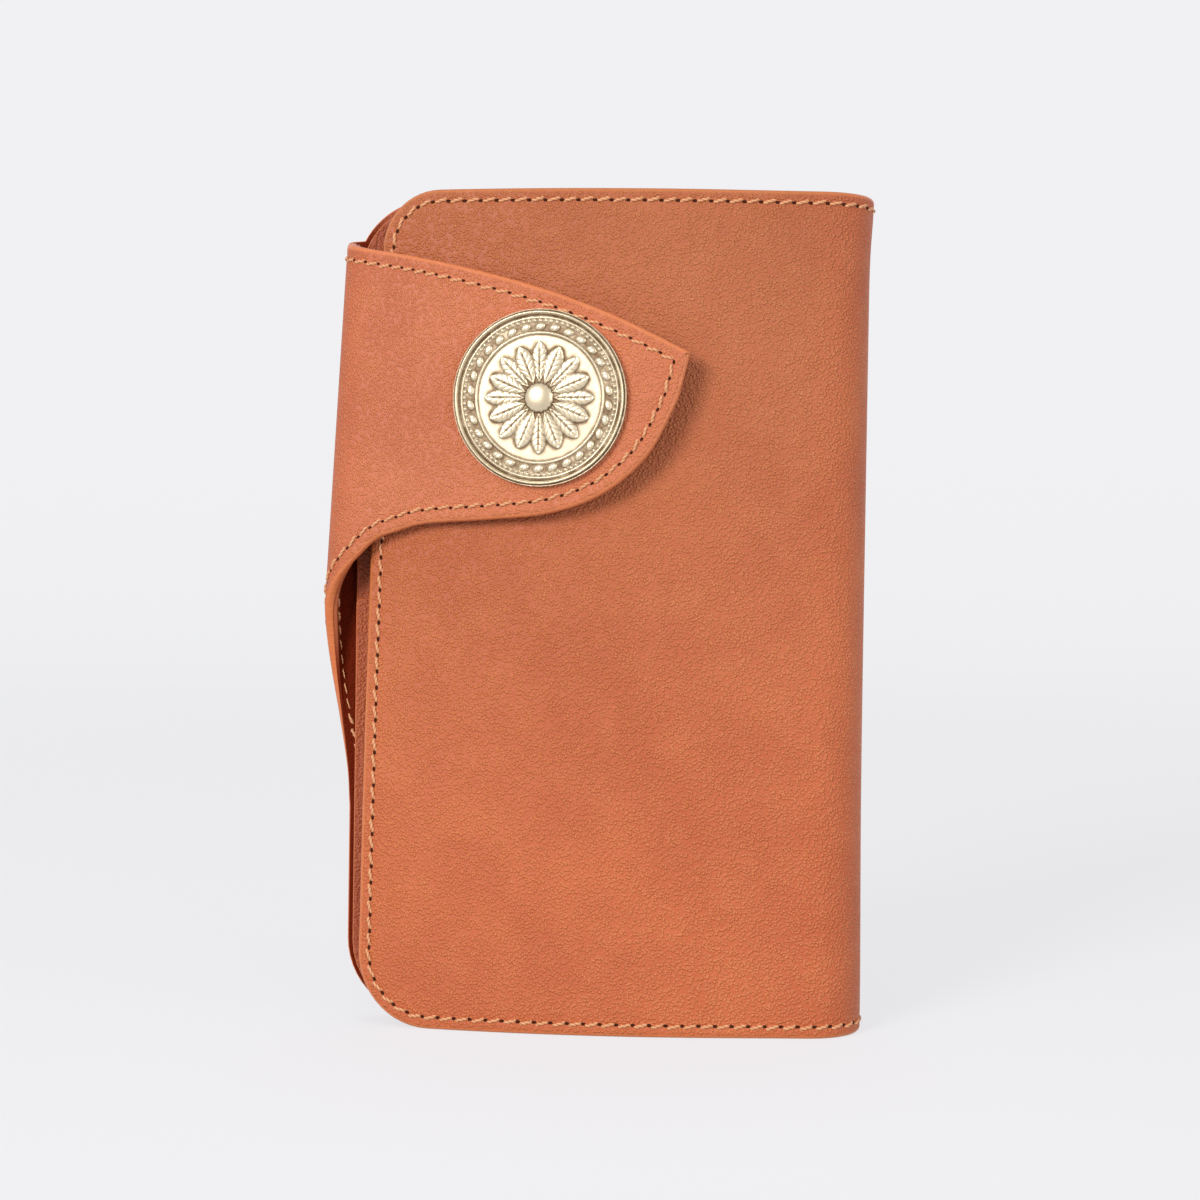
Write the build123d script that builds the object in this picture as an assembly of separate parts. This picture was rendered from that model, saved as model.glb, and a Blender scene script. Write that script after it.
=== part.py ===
from build123d import *
import math
import os

# A long wallet standing on its lower end.
# +X runs from the free edges to the spine, -Y faces the front cover, +Z is up.
# All sizes are in millimetres. The model is drawn about the wallet's own middle plane
# and moved at the end, so that the origin is the middle of its lower face.

# ---- driving dimensions -------------------------------------------------------------
HEIGHT = 170.0            # lower end to upper end of the covers
HIDE = 1.8                # thickness of the outer hide
LINING = 0.8              # thickness of the lining leather
THIN = 0.8                # thickness of the pocket leather
BODY_GAP = 0.1            # seam between the pieces of one hide on two bodies

SPINE_X = 41.0            # middle of the rounded spine
SPINE_R = 11.0            # outer radius of the rounded spine
BEND_X = 22.0             # where the front cover starts to curve back
FRONT_ARC = 230.0         # outer radius of the front cover's curve
FRONT_LEFT = -50.6        # free edge of the front cover
BACK_LEFT = -53.2         # free edge of the back cover
LEAF_LEFT = -52.0         # free edge of the card leaves
CORNER = 12.0             # rounded corners of the front cover, at its free edge
BACK_CORNER = 17.5        # rounded corners of the back cover and the card leaves

POCKET_GAP = 0.6          # room between the front cover and the coin pocket's wall
COIN_RIGHT = 19.0         # where the coin pocket's wall meets the zip
LEAF_MARGIN = 1.5         # inner leaves stop this far inside the covers' ends
LEAF_RIGHT = 38.0         # inner leaves stop here, short of the spine
LINING_INSET = 0.6        # the back's lining stops this far inside the cover
SPINE_LINING_INSET = 1.0
BILL_GAP = 0.5            # note pocket behind the card leaf

SLOT_TOP = 153.0          # mouth of the highest card slot
SLOT_PITCH = 22.0         # from one mouth to the next
SLOT_COUNT = 4
SLOT_OVERLAP = 6.0        # each card slot's leaf covers the foot of the next one up
MOUTH_R = 1.2             # eased corners of a card slot's mouth
SLOT_AIR = 0.05           # between one leaf and the next

FLAP_TILT = 13.6          # angle of the shut flap to the back cover, degrees
FLAP_RISE = 1.2           # gap between flap and cover beside the concho
FLAP_RISE_X = -36.0       # where that gap is measured
FLAP_FLAT_END = 0.0       # the flap is flat up to here, then eases towards the cover
FLAP_EASE_R = 62.0        # radius of that easing, on the lining's inner face
FLAP_TIP = (14.4, 136.8)  # point of the flap, X and Z
FLAP_CREST = (-22.0, 151.7)   # a point on its upper edge
FLAP_NOSE = (6.4, 116.0)  # a point on its rounded nose
FLAP_FOOT = (-18.3, 104.0)    # where the nose meets the lower edge
FLAP_DIP = (-38.0, 102.4)     # a point on the lower edge
FLAP_TOP_Z = 157.6        # upper edge of the flap where it leaves the strap
FLAP_ROOT_Z = 92.0        # lower edge of the flap, carried on to its outermost point
FLAP_LOW_Z = 96.5         # lower edge of the strap where it meets the flap
STRAP_DIP = (8.6, 78.0)   # a point on the strap's lower edge, Y and Z
STRAP_LOW_Z = 48.0        # where the strap's lower edge leaves the back cover
STRAP_TOP_Z = 161.0       # upper edge of the strap on the back cover
SHOULDER = 4.0            # the strap's upper end is carried this far into the back cover

CONCHO_X = -14.7
CONCHO_Z = 127.6
CONCHO_R = 17.5
CONCHO_RIM = 2.0          # height of the raised rim
CONCHO_PLATE = 1.1        # thickness of the disc itself
CONCHO_DOME = 2.3         # height of the middle boss
CONCHO_BOSS_R = 7.0
CONCHO_RIM_WIDTH = 1.6
CONCHO_ROUND = 0.4

STUD_FLANGE_R = 4.5
STUD_FLANGE_HALF = 0.5    # the flange stands this proud of the cover and this deep in it
STUD_POST_R = 1.9
STUD_HEAD_R = 2.2
STUD_HEAD_DEEP = 2.9      # foot and top of the stud's head, below the flap's outer face
STUD_TOP_DEEP = 1.9
STUD_CAP_R = 3.2
STUD_CAP_SUNK = 0.4       # the cap is let this far into the cover
STUD_CAP_PROUD = 0.15
SOCKET_R = 5.5
SOCKET_SKIRT = 1.2        # the socket's skirt below the lining
SOCKET_BARREL_R = 3.6
SOCKET_TOP_DEEP = 0.7     # the barrel stops this far below the flap's outer face
SOCKET_BORE_R = 2.6
SOCKET_ROOF = 0.8         # metal above the bore
POST_R = 1.5

THREAD_INSET = 2.6        # seam line from the edge of the leather
THREAD_WIDTH = 0.8
THREAD_DEPTH = 0.25       # the thread fills a groove of this depth
THREAD_END = 4.0          # the seams stop this far short of the spine's middle

ZIP_X = 28.0              # middle of the zip
ZIP_LOW = 14.0
ZIP_HIGH = 156.0
TAPE_WIDTH = 7.0
TAPE_THICK = 0.5
TAPE_RISE = 2.3           # the tapes' lower face above the front cover's inner face
ZIP_SPLIT = 0.4           # half the gap between the two rows of teeth
TOOTH_PITCH = 2.5
TOOTH_LENGTH = 1.3
TOOTH_REACH = 1.9
TOOTH_THICK = 1.5
FRAME_WINDOW = 11.4       # opening of the leather frame around the zip
FRAME_LEFT = 16.0
FRAME_INSET = 3.0         # the frame stops this far inside the inner leaves' ends
WINDOW_MARGIN = 1.0       # the frame's window runs this far beyond the tapes' ends
ZIP_END = 6.0             # tape beyond the last tooth
BEAD_WIDTH = 0.5
BEAD_STEP = 0.2
TAPE_SHY = 0.3            # the tapes stop this far short of the teeth's tips
STOP_WIDTH = 5.0
STOP_LENGTH = 2.5
STOP_THICK = 0.8
STOP_INSET = 1.0          # from the end of the tape to its stop
SPINE_AXIS_Y = 7.0        # the spine's two fold axes, either side of the middle plane
SLIDER_WIDTH = 9.0
SLIDER_LENGTH = 11.0
SLIDER_PLATE = 0.8
SLIDER_PLAY = 0.15
SLIDER_LOW = 20.0         # lower end of the slider with the zip shut
BRIDGE_THICK = 0.5
BAIL_WIDTH = 2.4
BAIL_HEIGHT = 2.2
BAIL_LENGTH = 5.0
BAIL_HOLE_R = 1.0
BAIL_ROUND = 1.0
SLIDER_TAPER = 1.2        # the slider's tail is narrower than its mouth by this, each side
SLIDER_MOUTH = 3.0        # length of its wide end
SLIDER_ROUND = 1.0
BRIDGE_LENGTH = 3.0
BRIDGE_INSET = 0.5
RAIL_WIDTH = 1.0          # rails along the edges of the back plate
RAIL_LENGTH = 3.0
RAIL_INSET = 1.0
WELD = 0.1                # how far joined parts of one casting run into each other
PULL_PIN_R = 0.6
PULL_LENGTH = 15.0
PULL_WIDTH = 6.0
PULL_THICK = 1.0
PULL_PLAY = 0.3           # between the bail and each arm of the pull
PULL_ARM = 5.5            # length of the two arms
PULL_TAB_START = 4.2      # the solid tab starts this far from the pin
PULL_ROUND = 2.0

FAR = 400.0               # larger than anything here
OVERRUN = 5.0             # how far a sheet runs past the outline that trims it

# ---- values worked out from them ----------------------------------------------------
FRONT_Y = -SPINE_R
BACK_Y = SPINE_R
ARC_Y = FRONT_Y + FRONT_ARC
FLAP_THICK = HIDE + LINING
TILT = math.radians(FLAP_TILT)


def cover_y(x, depth=0.0):
    """Y of the surface that lies this deep behind the front cover's outer face."""
    if x >= BEND_X:
        return FRONT_Y + depth
    return ARC_Y - math.sqrt((FRONT_ARC - depth) ** 2 - (BEND_X - x) ** 2)


FLAP_REF = Vector(FLAP_RISE_X, cover_y(FLAP_RISE_X) - FLAP_RISE)
FLAP_DIR = Vector(math.cos(TILT), -math.sin(TILT))
FLAP_OUT = Vector(-math.sin(TILT), -math.cos(TILT))


def flap_point(x, out=0.0):
    """Point above x on the flat of the flap, this far out from the lining's inner face."""
    along = (x - FLAP_REF.X - out * FLAP_OUT.X) / FLAP_DIR.X
    return FLAP_REF + FLAP_DIR * along + FLAP_OUT * out


def strap_radius():
    """Outer radius of the strap's bend: tangent to the back cover and to the flap."""
    start = flap_point(BACK_LEFT, FLAP_THICK)
    rise = (BACK_LEFT - start.X) * FLAP_OUT.X + (BACK_Y - start.Y) * FLAP_OUT.Y
    return -rise / (1.0 - FLAP_OUT.Y)


STRAP_R = strap_radius()
STRAP_MID = Vector(BACK_LEFT, BACK_Y - STRAP_R)


# ---- shared shapes ------------------------------------------------------------------
def box(low, high):
    """A block given by two opposite corners."""
    size = [b - a for a, b in zip(low, high)]
    middle = [(a + b) / 2 for a, b in zip(low, high)]
    return Pos(*middle) * Box(*size)


def disc(radius, middle, direction, start, end):
    """A round solid along a direction, between two distances from its middle."""
    plane = Plane(origin=middle + direction * start, z_dir=direction)
    return extrude(plane * Circle(radius), amount=end - start)


def rounded_leaf(left, right, low, high, corner):
    """A sheet's outline, seen from the front, with its free corners rounded."""
    middle = Pos((left + right) / 2, (low + high) / 2)
    outline = middle * Rectangle(right - left, high - low)
    return fillet(outline.vertices().sort_by(Axis.X)[:2], corner)


def through(outline):
    """An outline seen from the front, as a block that runs right through the wallet."""
    return extrude(Plane.XZ * outline, amount=FAR / 2, both=True)


def front_line(depth, left, right):
    """Plan of a surface of the front half: curved up to the bend, then straight."""
    end = min(right, BEND_X)
    points = [(x, cover_y(x, depth)) for x in (left, (left + end) / 2, end)]
    curve = ThreePointArc(*points)
    if right <= BEND_X:
        return [curve]
    return [curve, Line(points[-1], (right, FRONT_Y + depth))]


def front_band(depth, thick, left, right):
    """Plan of a sheet that follows the front cover's curve."""
    outer = front_line(depth, left, right)
    inner = front_line(depth + thick, left, right)
    ends = [Line(outer[0] @ 0, inner[0] @ 0), Line(outer[-1] @ 1, inner[-1] @ 1)]
    return make_face(outer + inner + ends)


def front_sheet(depth, thick, outline, right):
    """A sheet of the front half, cut to its outline and to its right-hand end."""
    band = front_band(depth, thick, FRONT_LEFT - OVERRUN, right)
    return extrude(band, amount=FAR) & through(outline)


def half_ring(middle, outer, inner, start_angle, turn):
    """Plan of a band bent round a point."""
    edges = [
        CenterArc(middle, outer, start_angle, turn),
        CenterArc(middle, inner, start_angle, turn),
    ]
    first = Line(edges[0] @ 0, edges[1] @ 0)
    last = Line(edges[0] @ 1, edges[1] @ 1)
    return make_face([edges[0], last, edges[1], first])


# ---- outlines, seen from the front --------------------------------------------------
def front_outline(inset=0.0):
    return rounded_leaf(
        FRONT_LEFT + inset, SPINE_X - BODY_GAP / 2, inset, HEIGHT - inset, CORNER - inset
    )


def back_outline(inset=0.0):
    return rounded_leaf(
        BACK_LEFT + inset, SPINE_X - BODY_GAP / 2, inset, HEIGHT - inset, BACK_CORNER - inset
    )


def flap_outline():
    """The flap from its seam with the strap to its point."""
    seam_x = BACK_LEFT - STRAP_R
    upper = ThreePointArc((seam_x, FLAP_TOP_Z), FLAP_CREST, FLAP_TIP)
    nose = ThreePointArc(FLAP_TIP, FLAP_NOSE, FLAP_FOOT)
    lower = ThreePointArc(FLAP_FOOT, FLAP_DIP, (seam_x, FLAP_ROOT_Z))
    seam = Line((seam_x, FLAP_ROOT_Z), (seam_x, FLAP_TOP_Z))
    return make_face([upper, nose, lower, seam])


def strap_outline():
    """The strap seen from the free-edge side, in Y and Z."""
    front_y = STRAP_MID.Y - STRAP_R - OVERRUN
    back_y = BACK_Y + OVERRUN
    low = ThreePointArc((BACK_Y, STRAP_LOW_Z), STRAP_DIP, (STRAP_MID.Y - STRAP_R, FLAP_LOW_Z))
    low_front = Line(low @ 1, (front_y, FLAP_LOW_Z))
    front = Line((front_y, FLAP_LOW_Z), (front_y, FLAP_TOP_Z))
    top = Line((front_y, FLAP_TOP_Z), (back_y, STRAP_TOP_Z))
    back = Line((back_y, STRAP_TOP_Z), (back_y, STRAP_LOW_Z))
    low_back = Line((back_y, STRAP_LOW_Z), low @ 0)
    return make_face([low, low_front, front, top, back, low_back])


# ---- the back half ------------------------------------------------------------------
def back_sheet(outer_y, thick, outline):
    return through(outline) & box((-FAR, outer_y - thick, -FAR), (FAR, outer_y, FAR))


def back_cover():
    """The cover. A small shoulder carries the strap past its rounded upper corner."""
    corner_z = HEIGHT - BACK_CORNER
    middle = Pos(BACK_LEFT + SHOULDER / 2, (corner_z + STRAP_TOP_Z) / 2)
    shoulder = middle * Rectangle(SHOULDER, STRAP_TOP_Z - corner_z)
    return back_sheet(BACK_Y, HIDE, back_outline() + shoulder) - back_thread()


def back_lining():
    return back_sheet(BACK_Y - HIDE, LINING, back_outline(inset=LINING_INSET))


CARD_Y = BACK_Y - HIDE - LINING - BILL_GAP


def leaf_outline(low, high):
    return rounded_leaf(LEAF_LEFT, LEAF_RIGHT, low, high, BACK_CORNER - LEAF_MARGIN)


def card_panel():
    """The leaf that carries the card slots and makes the note pocket's front wall."""
    return back_sheet(CARD_Y, THIN, leaf_outline(LEAF_MARGIN, HEIGHT - LEAF_MARGIN))


def card_slot(number):
    """One card slot's leaf. It leans out over the foot of the leaf above it."""
    mouth = SLOT_TOP - SLOT_PITCH * number
    foot = mouth - SLOT_PITCH - SLOT_OVERLAP
    lean = (THIN + SLOT_AIR) / SLOT_PITCH
    rear = CARD_Y - THIN - SLOT_AIR
    mouth_y = rear - lean * (mouth - foot)
    profile = Polygon(
        (rear, foot), (mouth_y, mouth), (mouth_y - THIN, mouth), (rear - THIN, foot), align=None
    )
    leaf = extrude(Plane.YZ * profile, amount=FAR / 2, both=True)
    if number == SLOT_COUNT - 1:
        leaf += box((-FAR / 2, rear - THIN, LEAF_MARGIN), (FAR / 2, rear, foot))
    shape = leaf_outline(LEAF_MARGIN, HEIGHT - LEAF_MARGIN)
    if number:
        eased = rounded_leaf(LEAF_LEFT, LEAF_RIGHT, LEAF_MARGIN, mouth, MOUTH_R)
        leaf = leaf & through(eased)
    return leaf & through(shape)


# ---- the spine ----------------------------------------------------------------------
def spine_band(outer, inner):
    plan = half_ring((SPINE_X, 0), outer, inner, -90, 180)
    shift = Pos(BODY_GAP / 2, 0)
    return shift * plan


def spine_leather():
    return extrude(spine_band(SPINE_R, SPINE_R - HIDE), amount=HEIGHT)


def spine_lining():
    plan = spine_band(SPINE_R - HIDE, SPINE_R - HIDE - LINING)
    lining = extrude(plan, amount=HEIGHT - 2 * SPINE_LINING_INSET)
    return Pos(0, 0, SPINE_LINING_INSET) * lining


# ---- the snap and the concho --------------------------------------------------------
CONCHO_BASE = flap_point(CONCHO_X, FLAP_THICK) + Vector(0, 0, CONCHO_Z)


def run_to_cover(depth):
    """Distance from the concho's base back along its axis to a front-half surface."""
    reach = Vector(BEND_X - CONCHO_BASE.X, ARC_Y - CONCHO_BASE.Y)
    along = -(reach.X * FLAP_OUT.X + reach.Y * FLAP_OUT.Y)
    across = reach.X * FLAP_OUT.Y - reach.Y * FLAP_OUT.X
    return along - math.sqrt((FRONT_ARC - depth) ** 2 - across ** 2)


COVER_FACE = run_to_cover(0.0)
COVER_BACK = run_to_cover(HIDE)


def snap_stud():
    """Stud set in the front cover: a flange, and a post with a bulged head."""
    face = -COVER_FACE
    foot = -COVER_BACK + STUD_CAP_SUNK
    flange = disc(
        STUD_FLANGE_R, CONCHO_BASE, FLAP_OUT, face - STUD_FLANGE_HALF, face + STUD_FLANGE_HALF
    )
    post = disc(STUD_POST_R, CONCHO_BASE, FLAP_OUT, foot, -STUD_TOP_DEEP)
    head = disc(STUD_HEAD_R, CONCHO_BASE, FLAP_OUT, -STUD_HEAD_DEEP, -STUD_TOP_DEEP)
    return flange + post + head


def stud_cap():
    """Cap of the stud, let into the inside of the front cover."""
    inner = -COVER_BACK - STUD_CAP_PROUD
    return disc(STUD_CAP_R, CONCHO_BASE, FLAP_OUT, inner, -COVER_BACK + STUD_CAP_SUNK)


def snap_socket():
    """Socket in the flap. It clips over the stud's head."""
    lower = -FLAP_THICK - SOCKET_SKIRT
    roof = -SOCKET_TOP_DEEP - SOCKET_ROOF
    skirt = disc(SOCKET_R, CONCHO_BASE, FLAP_OUT, lower, -FLAP_THICK)
    barrel = disc(SOCKET_BARREL_R, CONCHO_BASE, FLAP_OUT, -FLAP_THICK, -SOCKET_TOP_DEEP)
    bore = disc(SOCKET_BORE_R, CONCHO_BASE, FLAP_OUT, lower - WELD, roof)
    return skirt + barrel - bore


def concho_post():
    """Screw that holds the concho to the snap's socket."""
    return disc(POST_R, CONCHO_BASE, FLAP_OUT, -SOCKET_TOP_DEEP, 0.0)


def concho():
    """Struck metal disc: a raised rim, a sunk field and a low boss in the middle."""
    rim = disc(CONCHO_R, CONCHO_BASE, FLAP_OUT, 0, CONCHO_RIM)
    rim = fillet(rim.edges().filter_by(GeomType.CIRCLE), CONCHO_ROUND)
    rim -= disc(CONCHO_R - CONCHO_RIM_WIDTH, CONCHO_BASE, FLAP_OUT, CONCHO_PLATE, CONCHO_RIM + 1)
    boss = disc(CONCHO_BOSS_R, CONCHO_BASE, FLAP_OUT, 0, CONCHO_DOME)
    top = max(boss.edges().filter_by(GeomType.CIRCLE), key=lambda edge: -edge.center().Y)
    boss = fillet(top, CONCHO_DOME - CONCHO_PLATE)
    return rim + boss


# ---- the front half -----------------------------------------------------------------
def front_cover():
    cover = front_sheet(0, HIDE, front_outline(), SPINE_X + OVERRUN)
    return cover - snap_stud() - stud_cap() - front_thread()


def coin_pocket_panel():
    """Inner wall of the coin pocket, from the free edge to the zip."""
    outline = rounded_leaf(
        FRONT_LEFT, FAR, LEAF_MARGIN, HEIGHT - LEAF_MARGIN, CORNER - LEAF_MARGIN
    )
    return front_sheet(HIDE + POCKET_GAP, THIN, outline, COIN_RIGHT)


TAPE_Y = FRONT_Y + HIDE + TAPE_RISE
TEETH_Y = TAPE_Y + TAPE_THICK / 2


def zip_tape(side):
    """The woven tape on one side of the zip."""
    near = ZIP_X + side * (ZIP_SPLIT + TAPE_SHY)
    far = near + side * TAPE_WIDTH
    low = (min(near, far), TAPE_Y, ZIP_LOW)
    high = (max(near, far), TAPE_Y + TAPE_THICK, ZIP_HIGH)
    return box(low, high)


def zip_teeth(side):
    """One row of teeth, joined along the bead of its tape."""
    low_y = TEETH_Y - TOOTH_THICK / 2
    high_y = TEETH_Y + TOOTH_THICK / 2
    count = int((ZIP_HIGH - ZIP_LOW - 2 * ZIP_END) / TOOTH_PITCH)
    near = ZIP_X + side * ZIP_SPLIT
    far = near + side * TOOTH_REACH
    bead = near + side * (TOOTH_REACH - BEAD_WIDTH)
    start = ZIP_LOW + ZIP_END + (TOOTH_PITCH / 2 if side > 0 else 0)
    end = start + TOOTH_PITCH * (count - 1) + TOOTH_LENGTH
    row = box(
        (min(bead, far), low_y + BEAD_STEP, start), (max(bead, far), high_y - BEAD_STEP, end)
    )
    teeth = []
    for number in range(count):
        z = start + number * TOOTH_PITCH
        low = (min(near, far), low_y, z)
        high = (max(near, far), high_y, z + TOOTH_LENGTH)
        teeth.append(box(low, high))
    return row.fuse(*teeth) - zip_tape(side)


def zip_stop(z):
    """Metal clip across one end of the two rows of teeth."""
    low = (ZIP_X - STOP_WIDTH / 2, TAPE_Y + TAPE_THICK, z)
    high = (ZIP_X + STOP_WIDTH / 2, TAPE_Y + TAPE_THICK + STOP_THICK, z + STOP_LENGTH)
    return box(low, high)


def zip_frame():
    """Leather frame sewn round the zip on the inside of the front half."""
    low_y = TAPE_Y + TAPE_THICK
    edge = LEAF_MARGIN + FRAME_INSET
    outer = box((FRAME_LEFT, low_y, edge), (LEAF_RIGHT, low_y + THIN, HEIGHT - edge))
    half = FRAME_WINDOW / 2
    window = box(
        (ZIP_X - half, low_y - THIN, ZIP_LOW - WINDOW_MARGIN),
        (ZIP_X + half, low_y + 2 * THIN, ZIP_HIGH + WINDOW_MARGIN),
    )
    return outer - window


# ---- the zip's slider and pull ------------------------------------------------------
SLIDER_BACK = TEETH_Y + TOOTH_THICK / 2 + SLIDER_PLAY
SLIDER_FRONT = TEETH_Y - TOOTH_THICK / 2 - SLIDER_PLAY
BAIL_Y = SLIDER_BACK + SLIDER_PLATE + BAIL_HEIGHT / 2
BAIL_Z = SLIDER_LOW + SLIDER_LENGTH / 2


def slider_plate(low_y):
    """One plate of the slider: wide at its mouth, narrow at its tail."""
    wide = SLIDER_WIDTH / 2
    tail = wide - SLIDER_TAPER
    low = SLIDER_LOW
    high = SLIDER_LOW + SLIDER_LENGTH
    shoulder = high - SLIDER_MOUTH
    plan = Polygon(
        (ZIP_X - tail, low), (ZIP_X + tail, low), (ZIP_X + wide, shoulder),
        (ZIP_X + wide, high), (ZIP_X - wide, high), (ZIP_X - wide, shoulder), align=None,
    )
    plan = fillet(plan.vertices(), SLIDER_ROUND)
    plate = extrude(Plane.XZ * plan, amount=-SLIDER_PLATE)
    return Pos(0, low_y, 0) * plate


def slider_bail():
    """Loop on the slider's back that the pull hangs from."""
    foot = SLIDER_BACK + SLIDER_PLATE - WELD
    bail = box(
        (ZIP_X - BAIL_WIDTH / 2, foot, BAIL_Z - BAIL_LENGTH / 2),
        (ZIP_X + BAIL_WIDTH / 2, foot + BAIL_HEIGHT + WELD, BAIL_Z + BAIL_LENGTH / 2),
    )
    crown = bail.edges().filter_by(Axis.X).group_by(Axis.Y)[-1]
    hole = Pos(ZIP_X, BAIL_Y, BAIL_Z) * Rot(0, 90, 0) * Cylinder(BAIL_HOLE_R, BAIL_WIDTH * 2)
    return fillet(crown, BAIL_ROUND) - hole


def zip_slider():
    """Two plates joined by a thin bridge, with side rails and the bail for the pull."""
    body = slider_plate(SLIDER_BACK) + slider_plate(SLIDER_FRONT - SLIDER_PLATE)
    high = SLIDER_LOW + SLIDER_LENGTH
    bridge_top = high - BRIDGE_INSET
    body += box(
        (ZIP_X - BRIDGE_THICK / 2, SLIDER_FRONT - WELD, bridge_top - BRIDGE_LENGTH),
        (ZIP_X + BRIDGE_THICK / 2, SLIDER_BACK + WELD, bridge_top),
    )
    rail_top = high - RAIL_INSET
    for side in (-1, 1):
        middle = ZIP_X + side * (SLIDER_WIDTH - RAIL_WIDTH) / 2
        body += box(
            (middle - RAIL_WIDTH / 2, TAPE_Y + TAPE_THICK + SLIDER_PLAY, rail_top - RAIL_LENGTH),
            (middle + RAIL_WIDTH / 2, SLIDER_BACK + WELD, rail_top),
        )
    return body + slider_bail()


def zip_pull():
    """Stirrup on a pin through the bail, and the tab that the fingers hold."""
    inner = BAIL_WIDTH / 2 + PULL_PLAY
    outer = PULL_WIDTH / 2
    half = PULL_THICK / 2
    pull = Rot(0, 90, 0) * Cylinder(PULL_PIN_R, outer * 2)
    pull += box((-outer, -half, -PULL_ARM), (-inner, half, PULL_PIN_R))
    pull += box((inner, -half, -PULL_ARM), (outer, half, PULL_PIN_R))
    tab = box((-outer, -half, -PULL_LENGTH), (outer, half, -PULL_TAB_START))
    pull += fillet(tab.edges().filter_by(Axis.Y).group_by(Axis.Z)[0], PULL_ROUND)
    return Pos(ZIP_X, BAIL_Y, BAIL_Z) * pull


# ---- the flap and the strap ---------------------------------------------------------
def flap_line(out):
    """Plan of a line on the flap, this far out from the lining's inner face."""
    start = STRAP_MID + FLAP_OUT * (STRAP_R - FLAP_THICK + out)
    start += FLAP_DIR * BODY_GAP
    turn_at = flap_point(FLAP_FLAT_END) + FLAP_OUT * out
    flat = Line(start, turn_at)
    ease = JernArc(turn_at, FLAP_DIR, FLAP_EASE_R + out, FLAP_TILT)
    return flat + ease


def flap_layer(out, thick):
    """A layer of the flap, from this distance out, cut to the flap's outline."""
    plan = trace(flap_line(out + thick / 2), line_width=thick)
    return extrude(plan, amount=FAR) & through(flap_outline())


def seat_for_socket(layer):
    """A layer of the flap with the hole that the socket's barrel fills."""
    lower = -FLAP_THICK - OVERRUN
    return layer - disc(SOCKET_BARREL_R, CONCHO_BASE, FLAP_OUT, lower, -SOCKET_TOP_DEEP)


def flap_leather():
    leather = seat_for_socket(flap_layer(LINING, HIDE)) - flap_thread()
    return leather - disc(POST_R, CONCHO_BASE, FLAP_OUT, -HIDE, HIDE)


def flap_lining():
    return seat_for_socket(flap_layer(0, LINING))


def strap_layer(outer, thick):
    """A layer of the strap, bent from the back cover round to the flap."""
    plan = half_ring(STRAP_MID, outer, outer - thick, 90, 180 - FLAP_TILT)
    side = extrude(Plane.YZ * strap_outline(), amount=FAR / 2, both=True)
    return Pos(-BODY_GAP, 0, 0) * (extrude(plan, amount=FAR) & side)


def strap_leather():
    return strap_layer(STRAP_R, HIDE)


def strap_lining():
    return strap_layer(STRAP_R - HIDE, LINING)


# ---- the threads --------------------------------------------------------------------
def seam_on(outline, open_right):
    """Outline of a thread run, set in from the edge of a piece."""
    outer = offset(outline, -THREAD_INSET + THREAD_WIDTH / 2)
    run = outer - offset(outline, -THREAD_INSET - THREAD_WIDTH / 2)
    return run - Pos(open_right + FAR / 2, 0) * Rectangle(FAR, FAR)


def front_thread():
    """Thread round three edges of the front cover, sunk flush in its groove."""
    run = seam_on(front_outline(), SPINE_X - THREAD_END)
    return front_sheet(0, THREAD_DEPTH, run, SPINE_X)


def back_thread():
    """Thread round three edges of the back cover."""
    run = seam_on(back_outline(), SPINE_X - THREAD_END)
    return back_sheet(BACK_Y, THREAD_DEPTH, run)


def flap_thread():
    """Thread round the flap's free edges. It stops where the strap begins."""
    outline = flap_outline()
    run = offset(outline, -THREAD_INSET + THREAD_WIDTH / 2)
    run -= offset(outline, -THREAD_INSET - THREAD_WIDTH / 2)
    run -= Pos(BACK_LEFT - FAR / 2, 0) * Rectangle(FAR, FAR)
    plan = trace(flap_line(FLAP_THICK - THREAD_DEPTH / 2), line_width=THREAD_DEPTH)
    return extrude(plan, amount=FAR) & through(run)


# ---- the whole wallet ---------------------------------------------------------------
def make_nodes():
    nodes = {
        "back_cover": back_cover(),
        "back_lining": back_lining(),
        "card_panel": card_panel(),
        "back_thread": back_thread(),
        "spine_leather": spine_leather(),
        "spine_lining": spine_lining(),
        "front_cover": front_cover(),
        "coin_pocket_panel": coin_pocket_panel(),
        "zip_tape_left": zip_tape(-1),
        "zip_tape_right": zip_tape(1),
        "zip_teeth_left": zip_teeth(-1),
        "zip_teeth_right": zip_teeth(1),
        "zip_stop_low": zip_stop(ZIP_LOW + STOP_INSET),
        "zip_stop_high": zip_stop(ZIP_HIGH - STOP_INSET - STOP_LENGTH),
        "zip_frame": zip_frame(),
        "front_thread": front_thread(),
        "snap_stud": snap_stud(),
        "stud_cap": stud_cap(),
        "zip_slider": zip_slider(),
        "zip_pull": zip_pull(),
        "strap_leather": strap_leather(),
        "strap_lining": strap_lining(),
        "flap_leather": flap_leather(),
        "flap_lining": flap_lining(),
        "flap_thread": flap_thread(),
        "snap_socket": snap_socket(),
        "concho_post": concho_post(),
        "concho": concho(),
    }
    for number in range(SLOT_COUNT):
        nodes[f"card_slot_{number + 1}"] = card_slot(number)
    return nodes


def spine_fold_x():
    """X of the spine's two fold axes, placed so that the hide keeps its length when it opens."""
    half_turn = (SPINE_R - HIDE / 2) * math.pi / 2
    return SPINE_X + half_turn - SPINE_AXIS_Y


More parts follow.
